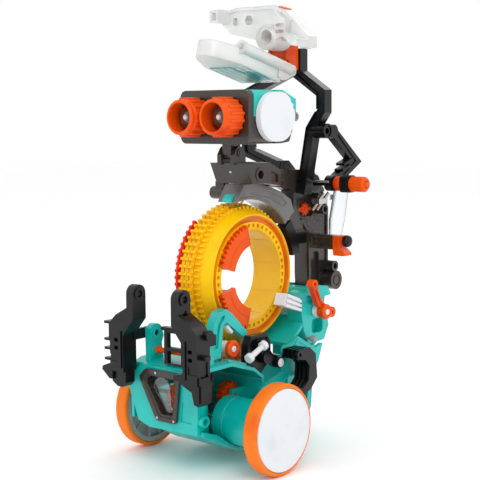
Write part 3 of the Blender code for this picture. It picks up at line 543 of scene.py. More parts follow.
def side_frames():
    """The side walls of the rear half, with a lightening window and a shaft ear each."""
    wall = [(18.5, 12), (18.5, 53), (44, 60), (52, 78), (62, 84), (84, 72), (93, 74), (88, 62), (81, 54),
            (78, 28), (71, 12.5), (40, 10)]
    window = [(32, 22), (32, 46), (50, 56), (66, 56), (74, 46), (70, 22)]
    rim = [(30.4, 20.4), (30.4, 47.2), (49.4, 57.8), (66.8, 57.8), (75.8, 46.6), (71.4, 20.4)]
    for side, mirror in SIDES:
        ear = disc(COMB_PIVOT, 5.5, 28.8, 32, 14)
        edge = prism(strip([(50, 70), (62, 81.5), (82, 70.5)], 2), 30, 32.6)
        solid("side_frame_" + side, "teal",
              [prism(wall, 28.8, 32), ear, prism(rim, 31, 32.8), edge],
              [prism(window, 27, 34), disc(COMB_PIVOT, 2.1, 27, 34), disc((77.5, 58), 2.2, 27, 34),
               disc((60, 70), 2.2, 27, 34)], mirror=mirror)


def rear_tower():
    """The tower behind the ring that carries the spine."""
    core = [(90, 60.3), (90, 98), (98, 114), (106, 114), (106, 108.6), (121, 108.6), (119, 90), (112, 72),
            (98, 60.3)]
    cheek = [(104, 106), (104, 116), (117, 114), (121, 107)]
    pieces = [prism(core, -14.2, 14.2), *both(cheek, 8, 20)]
    holes = [prism(rounded((95, 106), (68, 92), 3, 2), -22, 22),
             *both([(108, 78), (113, 88), (115, 100), (109, 100)], 12.6, 16),
             disc((100, 103), 2.2, -16, 16), box((-9, 9), (116, 124), (94, 104))]
    solid("rear_tower", "teal", pieces, holes, soft=0.7)


def rear_skid():
    """The rear block below the tower, with the caster fork."""
    fork = [(76, 12), (80, 5.6), (87, 5.6), (91, 12), (91, 24), (76, 24)]
    block = [(72.4, 16), (72.4, 59.8), (92, 59.8), (94, 44), (92, 22), (74, 21)]
    solid("rear_skid", "teal", [prism(block, -14, 14), *both(fork, 6.4, 9.4)],
          [box((-10, 10), (77, 100), (28, 52)), disc(CASTER, 2.1, -10, 10)], soft=0.6)
    for name, x in (("skid_ribs", -4), ("skid_rib_two", 4)):
        extra(name, "teal", [box((x - 0.8, x + 0.8), (77, 91), (28, 52))])


def caster_wheel():
    """The small trailing wheel, with the pins that turn in the fork."""
    half = [(9.2, 0), (9.2, 1.7), (5.8, 1.7), (5.8, 3), (4.5, 3), (4.5, 8.5), (3.5, 9.5), (2.0, 9.5),
            (1.8, 8.8), (1.3, 8.8), (1.1, 9.5)]
    profile = [(-x, r) for x, r in half] + half[::-1]
    solid("caster_wheel", "orange", [turned(profile, CASTER, 18)], soft=0.1)


def axle_rod():
    """The steel axle through both wheels."""
    solid("axle_rod", "steel", [disc(AXLE, 1.6, -64.2, 64.2)])


def gears():
    """The drive gear behind the window, the inner idler and the pinion below the ring."""
    web = tube(DRIVE_GEAR, 7, 11.3, -8.5, -7, 18)
    solid("drive_gear", "red_orange",
          [prism(toothed(DRIVE_GEAR, 12.6, 15, 20), -8, -3), disc(DRIVE_GEAR, 6, -14, -2, 14),
           disc(DRIVE_GEAR, 1.5, -38.4, 11.4)], [web], soft=0.25)
    extra("drive_gear_hub", "teal",
          [turned([(-16.5, 1.7), (-16.5, 4.6), (-15.6, 5.4), (-14.1, 5.4), (-14.1, 1.7)], DRIVE_GEAR, 16)],
          body="window_gear")
    holes = studs(IDLER_GEAR, 5.6, (0, 2.09, 4.19), 1.2, 2, 10)
    solid("idler_gear", "red_orange",
          [prism(toothed(IDLER_GEAR, 8, 9.8, 14), 3, 9), disc(IDLER_GEAR, 3.5, 1, 11, 12),
           disc(IDLER_GEAR, 1.7, -1.4, 13.4)], holes, soft=0.25)
    solid("ring_pinion", "orange",
          [prism(toothed(PINION, 7.4, PINION_TIP, PINION_TEETH), -12, -2), disc(PINION, 2.6, -18, 12),
           disc(PINION, 4, -13.5, 0, 12)], soft=0.25)


def wheels():
    """Each wheel is a soft tyre, a ribbed hub and a flat outer cap."""
    for side, mirror in SIDES:
        inner = RIM_RADIUS + GAP
        tread = [(TYRE_INNER, inner), (66.5, inner), (66.4, 30.6), (65.9, 31.5), (65.0, WHEEL_RADIUS),
                 (57.0, WHEEL_RADIUS), (56.1, 31.5), (55.6, 30.6)]
        solid("tyre_" + side, "tyre", [turned(tread, AXLE, 40)], mirror=mirror, soft=0)
        hub = [(53.2, 2), (53.2, 6.5), (60, 6.5), (60, 25.5), (56, 25.5), (56, 26.4), (56.6, 26.6),
               (56.6, 27.4), (56, 27.6), (56, 28.8), (64.7, 28.8), (64.7, 2)]
        ribs = [placed(box((56.5 + i % 2 * 1.5, 61), (6, 26), (-0.7, 0.7)), 30 * i + 15, "X", (0, *AXLE))
                for i in range(12)]
        collar = tube(AXLE, 14, 15.4, 58.4, 60.5, 30)
        solid("hub_" + side, "hub", [turned(hub, AXLE, 40), *ribs, collar], mirror=mirror, soft=0.2)
        cap = [(65.0, 0), (65.0, 28.9), (66.6, 28.9), (67.2, 28.6), (67.4, 28.1), (67.4, 27.5),
               (67.15, 27.1),
               (67.15, 0)]
        solid("wheel_cap_" + side, "white", [turned(cap, AXLE, 48)], mirror=mirror, soft=0)


def ring_drum():
    """The drum: three toothed bands, ribbed band, cone, rim, groove, pierced flange and bore."""
    shell = [(RING_FAR, RING_BORE), (11.5, RING_BORE), (11.5, 39.4), (7.5, 39.4), (7.5, 43.6), (12.7, 43.8),
             (RING_NEAR, 44.1), (RING_NEAR, 44.7), (12.5, 45.4), (6.4, 48.6), (5.8, 48.7), (RING_FAR, 48.6)]
    pieces = [turned(shell, RING, 60)]
    for low, high in ((-12.6, -9.6), (-8.9, -5.4), (-4.7, -1.0)):
        pieces.append(open_band(toothed(RING, RING_ROOT, RING_TIP, RING_TEETH), low, high))
    pieces.append(open_band(toothed(RING, 48.8, 50.6, 72), 0.2, 4.8))
    y, z = RING
    pockets = ring_of(44, 4, lambda: box((9.6, 12), (y + 35.5, y + 38.1), (z - 1.3, z + 1.3)))
    solid("ring_drum", "yellow", pieces, [pockets], soft=0.22)
    bed = [(7.7, 39.6), (8.6, 39.6), (8.8, 42.7), (12.3, 43.0), (12.7, 43.6), (7.7, 43.4)]
    extra("ring_groove_bed", "groove", [turned(bed, RING, 60)], body="coding_ring", slot="yellow", soft=0)
    lining = [(-13.8, 33.35), (11.2, 33.35), (11.2, 33.8), (-13.8, 33.8)]
    ribs = ring_of(10, 9, lambda: box((-12.5, 8), (y + 33.05, y + 33.6), (z - 0.35, z + 0.35)))
    extra("ring_bore_lining", "amber", [turned(lining, RING, 60)], body="coding_ring", slot="yellow",
          soft=0)
    extra("ring_bore_ribs", "amber", [ribs], body="coding_ring", slot="yellow", soft=0)


def open_band(outline, low, high):
    """A band of the drum with that outer outline, open inside the drum's shell."""
    band = prism(outline, low, high)
    bore = disc(RING, BAND_BORE, low - 1, high + 1, 60)
    cut = band.modifiers.new("bore", "BOOLEAN")
    cut.operation = "DIFFERENCE"
    cut.object = bore
    band.data = evaluated(band)
    band.modifiers.clear()
    bpy.data.objects.remove(bore)
    return band


def ring_trim():
    """The toothed red sector and the two code segments on the near flange."""
    plate = sector(RING, 35.5, 50.4, 52.2, 126, 246, 22)
    rim = arc(RING, 49.4, 126.5, 245.5, 30) + arc(RING, 37.5, 245.5, 126.5, 30)
    solid("ring_sector", "red", [prism(plate, -16.6, RING_FAR - GAP), prism(rim, -18.2, -16)],
          soft=0.25)
    for name, start, end in (("upper", 102, 166), ("lower", 194, 258)):
        face = sector(RING, 23.5, 36.6, 38.8, start, end, 11)
        tongue = arc(RING, 33.1, start + 0.5, end - 0.5, 8) + arc(RING, 28.5, end - 0.5, start + 0.5, 8)
        ridge = arc(RING, 30.2, start + 3, end - 3, 8) + arc(RING, 29.0, end - 3, start + 3, 8)
        solid("ring_segment_" + name, "red_orange",
              [prism(face, 11.8, 15.2), prism(tongue, 2, 12.5), prism(ridge, 15, 15.6)],
              soft=0.3)


def rollers():
    """The two rollers that the ring's rim runs on; the front one has a screwed cap."""
    barrel = [(-0.6, 0), (-0.6, 1.7), (3.5, 1.7), (3.5, 4.6), (4, ROLLER_RADIUS), (7, ROLLER_RADIUS),
              (7.2, 4.5), (7.8, 4.5), (8, ROLLER_RADIUS), (17, ROLLER_RADIUS), (17.2, 4.5), (17.8, 4.5),
              (18, ROLLER_RADIUS), (20.6, ROLLER_RADIUS), (21.2, 4.6), (21.2, 0)]
    solid("roller_front", "white", [turned(barrel, FRONT_ROLLER, 20)], soft=0)
    cap_piece("roller_front_cap", "front_roller", FRONT_ROLLER, 21.3, 25)
    rear = [(-3, 0)]
    for i in range(5):
        x = -3 + 3.5 * i
        rear += [(x, ROLLER_RADIUS), (x + 2.4, ROLLER_RADIUS), (x + 2.4, 4.1), (x + 3.5, 4.1)]
    rear = rear[:-2] + [(13.2, 1.7), (17.4, 1.7), (17.4, 0)]
    solid("roller_rear", "white", [turned(rear, REAR_ROLLER, 20)], soft=0.2)


def cap_piece(name, body, centre, low, high, radius=6.3):
    """A round orange cap with a scalloped rim, and its pale cross-slotted peg."""
    rim = [(low, 0), (low, radius), (high - 0.9, radius), (high, radius - 0.9), (high, 3.3),
           (high - 0.9, 3.0), (high - 0.9, 0)]
    scallops = studs(centre, radius + 0.5, [math.pi / 4 * i for i in range(8)], 0.9, low - 1, high + 1)
    extra(name, "red_orange", [turned(rim, centre, 20)], scallops, body=body)
    peg = [(high - 1.2, 0), (high - 1.2, 2.2), (high - 0.1, 2.2), (high + 0.2, 1.8), (high + 0.2, 0)]
    y, z = centre
    slots = [box((high - 0.4, high + 1), (y - 1.4, y + 1.4), (z - 0.25, z + 0.25)),
             box((high - 0.4, high + 1), (y - 0.25, y + 0.25), (z - 1.4, z + 1.4))]
    extra(name + "_peg", "white", [turned(peg, centre, 12)], slots, body=body, soft=0)


def roller_brackets():
    """The brackets that hold the rollers; the rear one carries a cradle that follows the ring."""
    hook = [(-26, 79), (-19, 104), (-14, 111), (-7, 112.5), (-1, 109), (16.5, 93), (13.5, 88.8), (3, 96.5),
            (-6, 103), (-10, 101), (-13, 79)]
    hook_base = box((13.9, 21.3), (-30, -13), (78.4, 84))
    channel = [(-20, 86), (-16, 101), (-12, 107.5), (-8, 108.5), (-9, 105.5), (-13, 102), (-16, 86)]
    solid("roller_bracket_front", "teal", [prism(hook, 14, 21), hook_base],
          [prism(channel, 19.4, 22)], soft=0.6)
    extra("hook_pin", "white", [prism(strip([(-4, 100.2), (2, 94.4)], 2.4), 15.5, 19.5)])
    plate = [(74, 86), (70, 104), (74, 114), (80, 115), (101, 103), (106, 86), (100, 75.5), (80, 74.5)]
    cradle = arc(RING, 55.6, -68, -28, 10) + arc(RING, 58.2, -28, -68, 10)
    rib = [(54.5, 79), (64, 84), (74, 92), (81, 101), (81, 80), (64, 75.5)]
    pieces = [prism(plate, 14.6, 28.4), prism(cradle, -28, 28), prism(rib, -28, -25)]
    holes = [
        box((-4, 14.3), (75, 92), (92.5, 110)),
        prism(rounded((84, 98), (82, 93), 3, 2), 22, 30),
        prism([(77, 107), (77, 111.5), (81, 112), (90, 106.8), (84, 104)], 25, 30),
        disc(REAR_ROLLER, 2.1, 12, 18),
        disc(LINK_PIVOT, 2.1, 23, 30),
    ]
    solid("roller_bracket_rear", "teal", pieces, holes, soft=0.6)


def chest_block():
    """The chest under the head, with the neck cheeks and their pin, a lateral bore and the side knob."""
    block = [(21, 213), (48, 213), (61, 207), (61, 195), (44, 198), (28, 198)]
    arm = [(60, 207.5), (84.7, 206), (84.7, 191.5), (60, 194.5)]
    cheek = [(18.5, 212), (18.5, 219), *arc(NECK, 4.6, 150, 30, 5), (31.5, 219), (31.5, 212)]
    knob = (33, 190.5)
    bore = (37, 204.4)
    pieces = [
        prism(block, -17, 17),
        prism(arm, -6, 6),
        *both(cheek, 4.4, 8),
        disc(knob, 4.8, -24, -12, 16),
        tube(knob, 2.4, 4.6, -24.6, -23, 16),
        box((-20, -12), (30, 36), (190, 199)),
        disc(NECK, 1.6, -9.2, 9.2),
        disc(NECK, 3.0, 7.6, 8.8),
        tube(bore, 3.2, 5.2, 15.5, 17.6, 20),
    ]
    pocket = [(50, 199), (50, 207), (58, 203.5), (58, 198)]
    holes = [disc(bore, 3.2, -20, 20, 16), prism(pocket, 15.5, 19)]
    solid("chest_block", "charcoal", pieces, holes, soft=0.9)
    extra("chest_lamp", "lamp", [tube((24.2, 206.5), 0, 0.9, -0.8, 0.8, 8)], slot="white", soft=0.2)
    plug = [(5, 0), (5, 3.1), (9, 3.1), (9, 2.0), (8, 2.0), (8, 0)]
    extra("chest_bore_plug", "black", [turned(plug, bore, 14)], soft=0)


def hood():
    """The curved cowl between the chest and the ring, with raised edges, side panels and a tab."""
    under = arc(RING, 55.5, 38, 104, 12)
    over = [(24, 191), (28.6, 197.6), (43.6, 197.6), (60, 194), (72, 190), (84, 183.5), (88, 174)]
    rib = arc(RING, 57.4, 42, 100, 12) + arc(RING, 56.2, 100, 42, 12)
    pieces = [prism(under + over, -9, 9), *both(rib, 8, 9.7)]
    panel = [(36, 190.5), (44, 194), (60, 190), (72, 186), (79, 181), (74, 179), (58, 186), (46, 188.5)]
    solid("hood", "cowl", pieces, both(panel, 8.2, 10), soft=0.8)
    tab = [(26, 186), (26, 190.5), (23, 190.5), (19, 187), (19, 184.6)]
    extra("hood_tab", "teal", [prism(tab, -4, 4)])


def spine():
    """The curved backbone from the chest down to the tower, with its side recesses and bosses."""
    outer = [(85, 206), (106, 205), (121, 199), (131, 189), (136, 174), (136.5, 124), (131, 109)]
    inner = [(109, 109), (108, 124), (108, 158), (97.5, 170), (91, 177), (91, 189), (85, 191.5)]
    recess = rounded((98, 116), (168.5, 180), 3, 2)
    lower = rounded((114, 124), (114, 140), 3, 2)
    slot = rounded((113, 131), (158, 166), 2, 2)
    low_boss, knob, small_boss, high_boss = (131, 128), (133.5, 116.5), (123, 173.5), (117, 182)
    pieces = [
        prism(outer + inner, -6, 6),
        disc(low_boss, 4.2, 5, 17, 14),
        disc(knob, 7.5, 5, 16.5, 16),
        disc(small_boss, 4.0, 5, 13, 14),
        disc(high_boss, 4.6, 5, 13, 14),
        prism(strip([(134, 122), (134, 172), (129, 187)], 2), 5, 7.2),
        prism(strip([(110.5, 112), (110, 156), (100, 167)], 2), 5, 7.2),
    ]
    holes = [
        *both(recess, 3.5, 8),
        prism(lower, 3.5, 20),
        prism(lower, -8, -3.5),
        disc(low_boss, 2.4, 12, 20),
        disc(SHOULDER, 2.6, -8, 8),
        disc(small_boss, 2.2, 10, 15),
        disc(high_boss, 2.6, 10, 15),
        prism(slot, -8, -4.5),
        tube(knob, 3.4, 4.6, 15.8, 18, 16),
    ]
    solid("spine", "charcoal", pieces, holes, soft=0.8)
    star = (107, 174.2)
    extra("spine_gear", "red_orange",
          [prism(toothed(star, 3.6, 5.2, 9), 3.6, 5.4), disc(star, 1.6, 5, 6),
           box((3.6, 4.6), (99, 115), (172.8, 175.6))], soft=0.2)


def guide_strip():
    """The curved guard behind the ring, held off the spine."""
    band = arc(RING, 54.2, 10, 36, 6) + arc(RING, 63, 36, 10, 6)
    ribs = [prism(strip(arc(RING, 62.4, a, a + 2, 1)[:2], 2.4), 0.5, 8.5) for a in (13, 19, 25, 31)]
    solid("guide_strip", "black", [prism(band, 0, 9), box((1, 6), (86, 107.6), (148, 156)), *ribs])


def bracket_bar():
    """The lateral bar on the spine, and the clip with its dark ball end."""
    bar = [box((6.3, 31), (109, 116), (144, 155)), box((12, 14), (108.4, 110), (144.6, 154.4))]
    solid("bracket_bar", "charcoal", bar, [box((10, 28), (108, 110.5), (146.5, 152.5))], soft=0.6)
    axis = (112, 151)
    clip = [(31.3, 143), (31.3, 155), (37, 155), (37, 146), (42, 142), (42, 139.8), (32, 139.8)]
    collar = [(36, 0), (36, 3.4), (37.4, 3.4), (37.4, 2.4), (38.4, 2.4), (38.4, 0)]
    solid("bracket_clip", "red_orange", [prism(clip, 107, 117, "Y"), turned(collar, axis, 12)],
          [box((33, 40), (109, 115), (139, 141.2))], soft=0.4)
    ball = [(38.2, 0), (38.2, 2.2), (39.2, 4.1), (40.4, 4.6), (42.2, 4.6), (43.4, 4.1), (44.5, 2.6),
            (44.5, 0)]
    extra("bracket_ball", "black", [turned(ball, axis, 16)], soft=0)


def clear_plate():
    """The clear plate behind the shoulder, with its rim and its foot on the spine."""
    plate = [(121.3, 147), (121.3, 165), (129, 191.8), (146.5, 190), (142, 166), (135, 147)]
    rim = strip([(122.6, 148.4), (122.4, 165), (130, 190.4), (145, 188.6), (140.6, 166), (134, 148.4)], 1.4)
    foot = box((6.3, 17.8), (123, 127), (181, 185))
    solid("clear_plate", "sheet", [prism(plate, 17.4, 18.8), prism(rim, 18.2, 19.4), foot], soft=0.2)


def steel_rods():
    """A pair of slanted pins beside each shoulder, with the collar that holds them."""
    for side, x, y, z, inner, outer in (("left", 18, 110, 181, 13.3, 20.5),
                                        ("right", -21.5, 65, 187, -24, -9.3)):
        rods = [placed(disc((0, 0), 1.3, -9, 9, 10, "Z"), 40, "Y", (x, y + shift, z)) for shift in (-3, 3)]
        collar = box((inner, outer), (y - 5.5, y + 5.5), (z - 2, z + 2))
        solid("steel_rods_" + side, "steel", [*rods, collar], soft=0.25)


def head_shells():
    """The dark front shell, which runs back below the seam, and the coloured shell above and behind it."""
    outline = rounded((-HEAD_HALF, HEAD_HALF), (HEAD_LOW, HEAD_HIGH), 5, 4)
    hollow = rounded((-HEAD_HALF + 2.4, HEAD_HALF - 2.4), (HEAD_LOW + 2.4, HEAD_HIGH - 2.4), 3.5, 2)
    tab = [(19, 229), (20, 219), *arc(NECK, 5, 200, 340, 6), (30, 219), (31, 229)]
    sockets = [disc((x, EYE_Z), 9.5, 0, 14, 16, "Y") for x in (EYE_X, -EYE_X)]
    front = prism(outline, HEAD_FRONT, HEAD_SPLIT, "Y")
    cavity = prism(hollow, HEAD_FRONT + 2.6, HEAD_SPLIT + 4, "Y")
    above = box((-40, 40), (HEAD_LIP, HEAD_SPLIT + 4), (HEAD_SEAM, HEAD_HIGH + 5))
    solid("head_front", "charcoal", [front, prism(tab, -4, 4)],
          [cavity, *sockets, disc(NECK, 2.0, -8, 8), above], soft=1.2)
    behind = HEAD_SPLIT + GAP
    rear = [(behind, HEAD_SEAM + GAP), (behind, HEAD_HIGH), (44, HEAD_HIGH), (HEAD_BACK, 258.5),
            (HEAD_BACK, HEAD_SEAM + 1), (57.8, HEAD_SEAM + GAP)]
    roof = prism(outline, HEAD_LIP + GAP, behind + 2, "Y")
    under_roof = prism(hollow, HEAD_LIP - 2, behind + 1, "Y")
    below = box((-40, 40), (HEAD_LIP - 2, behind), (HEAD_LOW - 5, HEAD_SEAM + GAP))
    below_rear = box((-40, 40), (behind - 1, behind + 3), (HEAD_LOW - 5, HEAD_SEAM + GAP))
    solid("head_rear", "teal", [roof, prism(rear, -HEAD_HALF, HEAD_HALF)],
          [under_roof, box((-28, 28), (30, 56), (230, 256)), below, below_rear], soft=0.8)
    low = [(behind, HEAD_LOW), (behind, HEAD_SEAM), (57, HEAD_SEAM), (57.4, 238), (53, HEAD_LOW + 1),
           (44, HEAD_LOW)]
    extra("head_rear_lower", "charcoal", [prism(low, -HEAD_HALF + 0.3, HEAD_HALF - 0.3)],
          [box((-28, 28), (30, 55), (230, 256))], body="head", soft=0.9)
    for name, spot in (("head_screw_a", -22), ("head_screw_b", 22)):
        extra(name, "steel", [disc((spot, 253), 1.6, 59.5, 60.4, 12, "Y")],
              [box((spot - 1.3, spot + 1.3), (60.1, 61), (252.8, 253.2))], body="head", soft=0)
    for side, mirror in SIDES:
        pin = [(27, 0), (27, 3.4), (33.4, 3.4), (34, 2.8), (34, 1.8), (33, 1.8), (33, 0)]
        extra("head_pin_" + side, "smoke", [turned(pin, (58, 246), 14)], body="head", slot="clear",
              mirror=mirror, soft=0)


def ears():
    """The long round-ended caps on the head's sides, with a scalloped rear edge."""
    front_centre = (30.5, 246)
    cap = arc(EAR, 17.5, -90, 90, 12) + arc(front_centre, 17.5, 90, 270, 12)
    for side, mirror in SIDES:
        notches = studs(EAR, 18.3, [math.radians(angle) for angle in (-38, -22, 22, 38)], 1.8, 30, 39)
        solid("ear_" + side, "white", [prism(cap, HEAD_HALF + 0.4, HEAD_HALF + 5)], notches,
              mirror=mirror, soft=1.1)


def eyes():
    """Each eye is an open ribbed sleeve over its socket, with a dark lens and a pale dome inside painted as
    its highlight.
    """
    for side, x in (("left", EYE_X), ("right", -EYE_X)):
        sleeve = turned_y([(EYE_FRONT, 10.2), (EYE_FRONT, 11.6), (EYE_FRONT + 0.7, 12.4),
                           (EYE_FRONT + 3.4, 12.4), (EYE_FRONT + 4.2, 13.1), (HEAD_FRONT - 1.2, 13.1),
                           (HEAD_FRONT - GAP, 12.2), (HEAD_FRONT - GAP, 10.2)], (x, EYE_Z), 28)
        grip = studs((x, EYE_Z), 13.0, [math.pi / 8 * (i + 0.5) for i in range(16)], 1.2,
                     EYE_FRONT + 4.4, HEAD_FRONT - 1, axis="Y")
        solid("eye_ring_" + side, "red_orange", [sleeve, *grip], soft=0.2)
        glass = turned_y([(-7.4, 0), (-7.0, 3.2), (-5.8, 6.2), (-3.4, 8.8), (-1, 10.0), (5.5, 10.0),
                          (5.5, 0)], (x, EYE_Z), 24)
        extra("eye_socket_" + side, "socket", [glass], body="head", slot="black", soft=0)
        # The pale dome, a little off centre, is a painted highlight on the dark lens; it gives no light.
        dome = turned_y([(-8.6, 0), (-8.3, 1.2), (-7.6, 2.0), (-6.2, 2.4), (-5, 2.4), (-5, 0)],
                        (x + 0.4, EYE_Z), 16)
        extra("eye_lamp_" + side, "lamp", [dome], body="head", slot="white", soft=0)


def channels(line):
    """The grooves along a boom's front and back."""
    groove = strip(line, CHANNEL_WIDTH)
    return [prism(groove, BOOM_FRONT - 1, BOOM_FRONT + CHANNEL_DEPTH, "Y"),
            prism(groove, BOOM_BACK - CHANNEL_DEPTH, BOOM_BACK + 1, "Y")]


def booms():
    """The two bent bars that pass either side of the head: channelled, with an eye each on the shaft."""
    near = [(7, 297), (7, 278.5), (29.5, 263.5), (29.5, 250), (19.5, 236), (10.5, 187)]
    near_channel = [(7, 294), (7, 280.5), (28, 264.5), (28, 251), (18, 236), (10.5, 196)]
    eye = [(98, 189), (98, 204), (110, 203), *arc(SHOULDER, 6.5, 90, -90, 8)]
    boss = (98, 235)
    solid("boom_left", "black",
          [prism(strip(near, BOOM_WIDTH), BOOM_FRONT, BOOM_BACK, "Y"), prism(eye, 6.6, 12.6),
           disc(boss, 5.6, 19, 33.5, 18)],
          [disc(SHOULDER, 2.6, 0, 20), disc(boss, 2.6, 28, 40, 6), disc(boss, 4.4, 32.6, 40, 14),
           *channels(near_channel)])
    far = [(-7, 297), (-7, 278.5), (-41, 264.5), (-44.5, 242), (-43, 218.5), (-9.6, 207)]
    far_channel = [(-7, 294), (-7, 280.5), (-39.5, 266), (-43, 242), (-41.5, 220), (-14, 209)]
    far_eye = [(94, 204), (94, 212), (102, 212), (113, 203), *arc(SHOULDER, 6.5, 60, -120, 8)]
    solid("boom_right", "black",
          [prism(strip(far, BOOM_WIDTH), BOOM_FRONT, BOOM_BACK, "Y"), prism(far_eye, -12.6, -6.6)],
          [disc(SHOULDER, 2.6, -20, 0), *channels(far_channel)])


def shoulder():
    """The shoulder shaft with its ball collar and end block, and the knob that turns it."""
    block = prism(rounded((104, 116), (188.5, 201.5), 3, 2), 39.5, 46.6)
    solid("shoulder_shaft", "black", [disc(SHOULDER, 2.2, -13, 46.6), block],
          [box((41, 45), (103, 105), (191, 199))], soft=0.2)
    ball = [(31.6, 2.4), (31.6, 3.4), (32.6, 5.0), (34.2, 5.7), (36.8, 5.7), (38.4, 5.0), (39.2, 3.4),
            (39.2, 2.4)]
    slots = [box((30, 41), (109.4, 110.6), z) for z in ((198.2, 202), (188, 191.8))]
    extra("shoulder_ball", "red_orange", [turned(ball, SHOULDER, 20)], slots, body="overhead_arm", soft=0)
    knob = [(47, 0), (47, 5.3), (47.6, 5.8), (58.6, 5.8), (60, 4.6), (60, 3.0), (58.6, 2.6), (58.6, 0)]
    flutes = studs(SHOULDER, 6.5, [math.pi / 7 * i for i in range(14)], 1.0, 48.2, 57.6)
    solid("shoulder_knob", "red_orange", [turned(knob, SHOULDER, 24)], flutes, soft=0)
    tip = [(58.7, 0), (58.7, 2.2), (60.2, 2.2), (60.6, 1.8), (60.6, 0)]
    extra("shoulder_knob_tip", "red_orange", [turned(tip, SHOULDER, 12)], body="overhead_arm", soft=0)
    pin = disc((101, 196.5), 0.8, 14, 32, 8)
    extra("shoulder_pin", "steel", [pin], body="overhead_arm", soft=0.2)


def bell_crank():
    """The rear link from the boom's boss back to its elbow and down to the shoulder shaft."""
    top = (108.8, 234.5)
    fins = [prism(strip(line, 2.0), 26, 34)
            for line in ([(119, 209), (131, 213)], [(117, 204.5), (128, 208)])]
    pieces = [prism(strip([top, (139.24, 211), SHOULDER], 7.6), 25, 31.5),
              disc(SHOULDER, 6.0, 25, 31.5, 18), disc(top, 5.2, 25, 31.5, 16), *fins]
    groove = strip([(113, 230.8), (135.5, 211.5), (117, 199.5)], 3.6)
    solid("bell_crank", "black", pieces,
          [disc(SHOULDER, 2.6, 20, 36), prism(groove, 30.7, 33), prism(groove, 23, 25.8)], soft=0.25)


def claw_mount():
    """The bracket between the boom tips that carries both jaws."""
    side = [(84, 281), (80, 290), (80, 299), (84, 303.5), (93.2, 303.5), (93.2, 281)]
    lug = [(74, 276), (74, 284), (84, 292), (90, 292), (90, 283)]
    cheek = [(81, 301), (81, 309), *arc(UPPER_JAW, 3.5, 170, 10, 6), (88, 309), (88, 301)]
    pieces = [
        prism(side, -8.2, 9.2),
        prism(lug, 4, 8),
        disc(LOWER_JAW, 1.6, 6, 14.5),
        *both(cheek, 5.4, 8),
        disc(UPPER_JAW, 1.6, -8, 8),
        *(box(x, (78.6, 82), (288, 300)) for x in ((-8.2, -6.6), (7.6, 9.2))),
    ]
    holes = [disc((1.5, z), 2.4, 70, 90, 10, "Y") for z in (297, 288)]
    solid("claw_mount", "red_orange", pieces, holes)


def pitched(piece):
    """Tilts a finished piece of the lower jaw, nose up, about its pivot."""
    pivot = Matrix.Translation((0, (LOWER_JAW[0] - CENTRE_Y) * MM, LOWER_JAW[1] * MM))
    piece.data.transform(pivot @ Matrix.Rotation(math.radians(-JAW_PITCH), 4, "X") @ pivot.inverted())
    return piece


def lower_jaw():
    """The scoop with its rolled rim, floor ribs and hinge lug."""
    plan = [(13, 68), (13, 22), (9, 12), *arc((-4, 9), 11, -10, -150, 5), (-24, 25), (-24, 68)]
    inner = [(10, 65), (10, 24), (6, 14), *arc((-4, 10), 8, -10, -150, 4), (-21, 26), (-21, 65)]
    lug = [(64, 271), (64, 284), (80.3, 284), *arc(LOWER_JAW, 4.2, 80, -80, 5), (74, 271)]
    rim = (13.2, 280)
    pieces = [prism(plan, 267.8, 280, "Z"), disc(rim, 4.2, 19, 78, 16, "Y"), prism(lug, 9.5, 14)]
    pieces += [box((x - 0.6, x + 0.6), (27, 66), (267, 268.6)) for x in (-20, -14, -8, -2, 4, 10)]
    pieces += [disc(rim, 4.9, 19, 21.2, 16, "Y"), disc((-22.8, 279.6), 1.8, 26, 66, 12, "Y")]
    holes = [prism(inner, 269.4, 286, "Z"), disc(LOWER_JAW, 2.1, 6, 22), disc(rim, 2.2, 17, 22, 12, "Y"),
             disc(rim, 2.2, 75, 80, 12, "Y")]
    pitched(solid("jaw_lower", "frosted", pieces, holes, soft=0.4))
    block = box((0.5, 11), (40, 58), (266.6, 268))
    pitched(extra("jaw_lower_block", "tab_teal", [block], body="lower_jaw", slot="teal"))
    panel = box((-21, -1), (28, 64), (267.2, 268))
    pitched(extra("jaw_lower_panel", "underside", [panel], body="lower_jaw", slot="clear", soft=0.1))


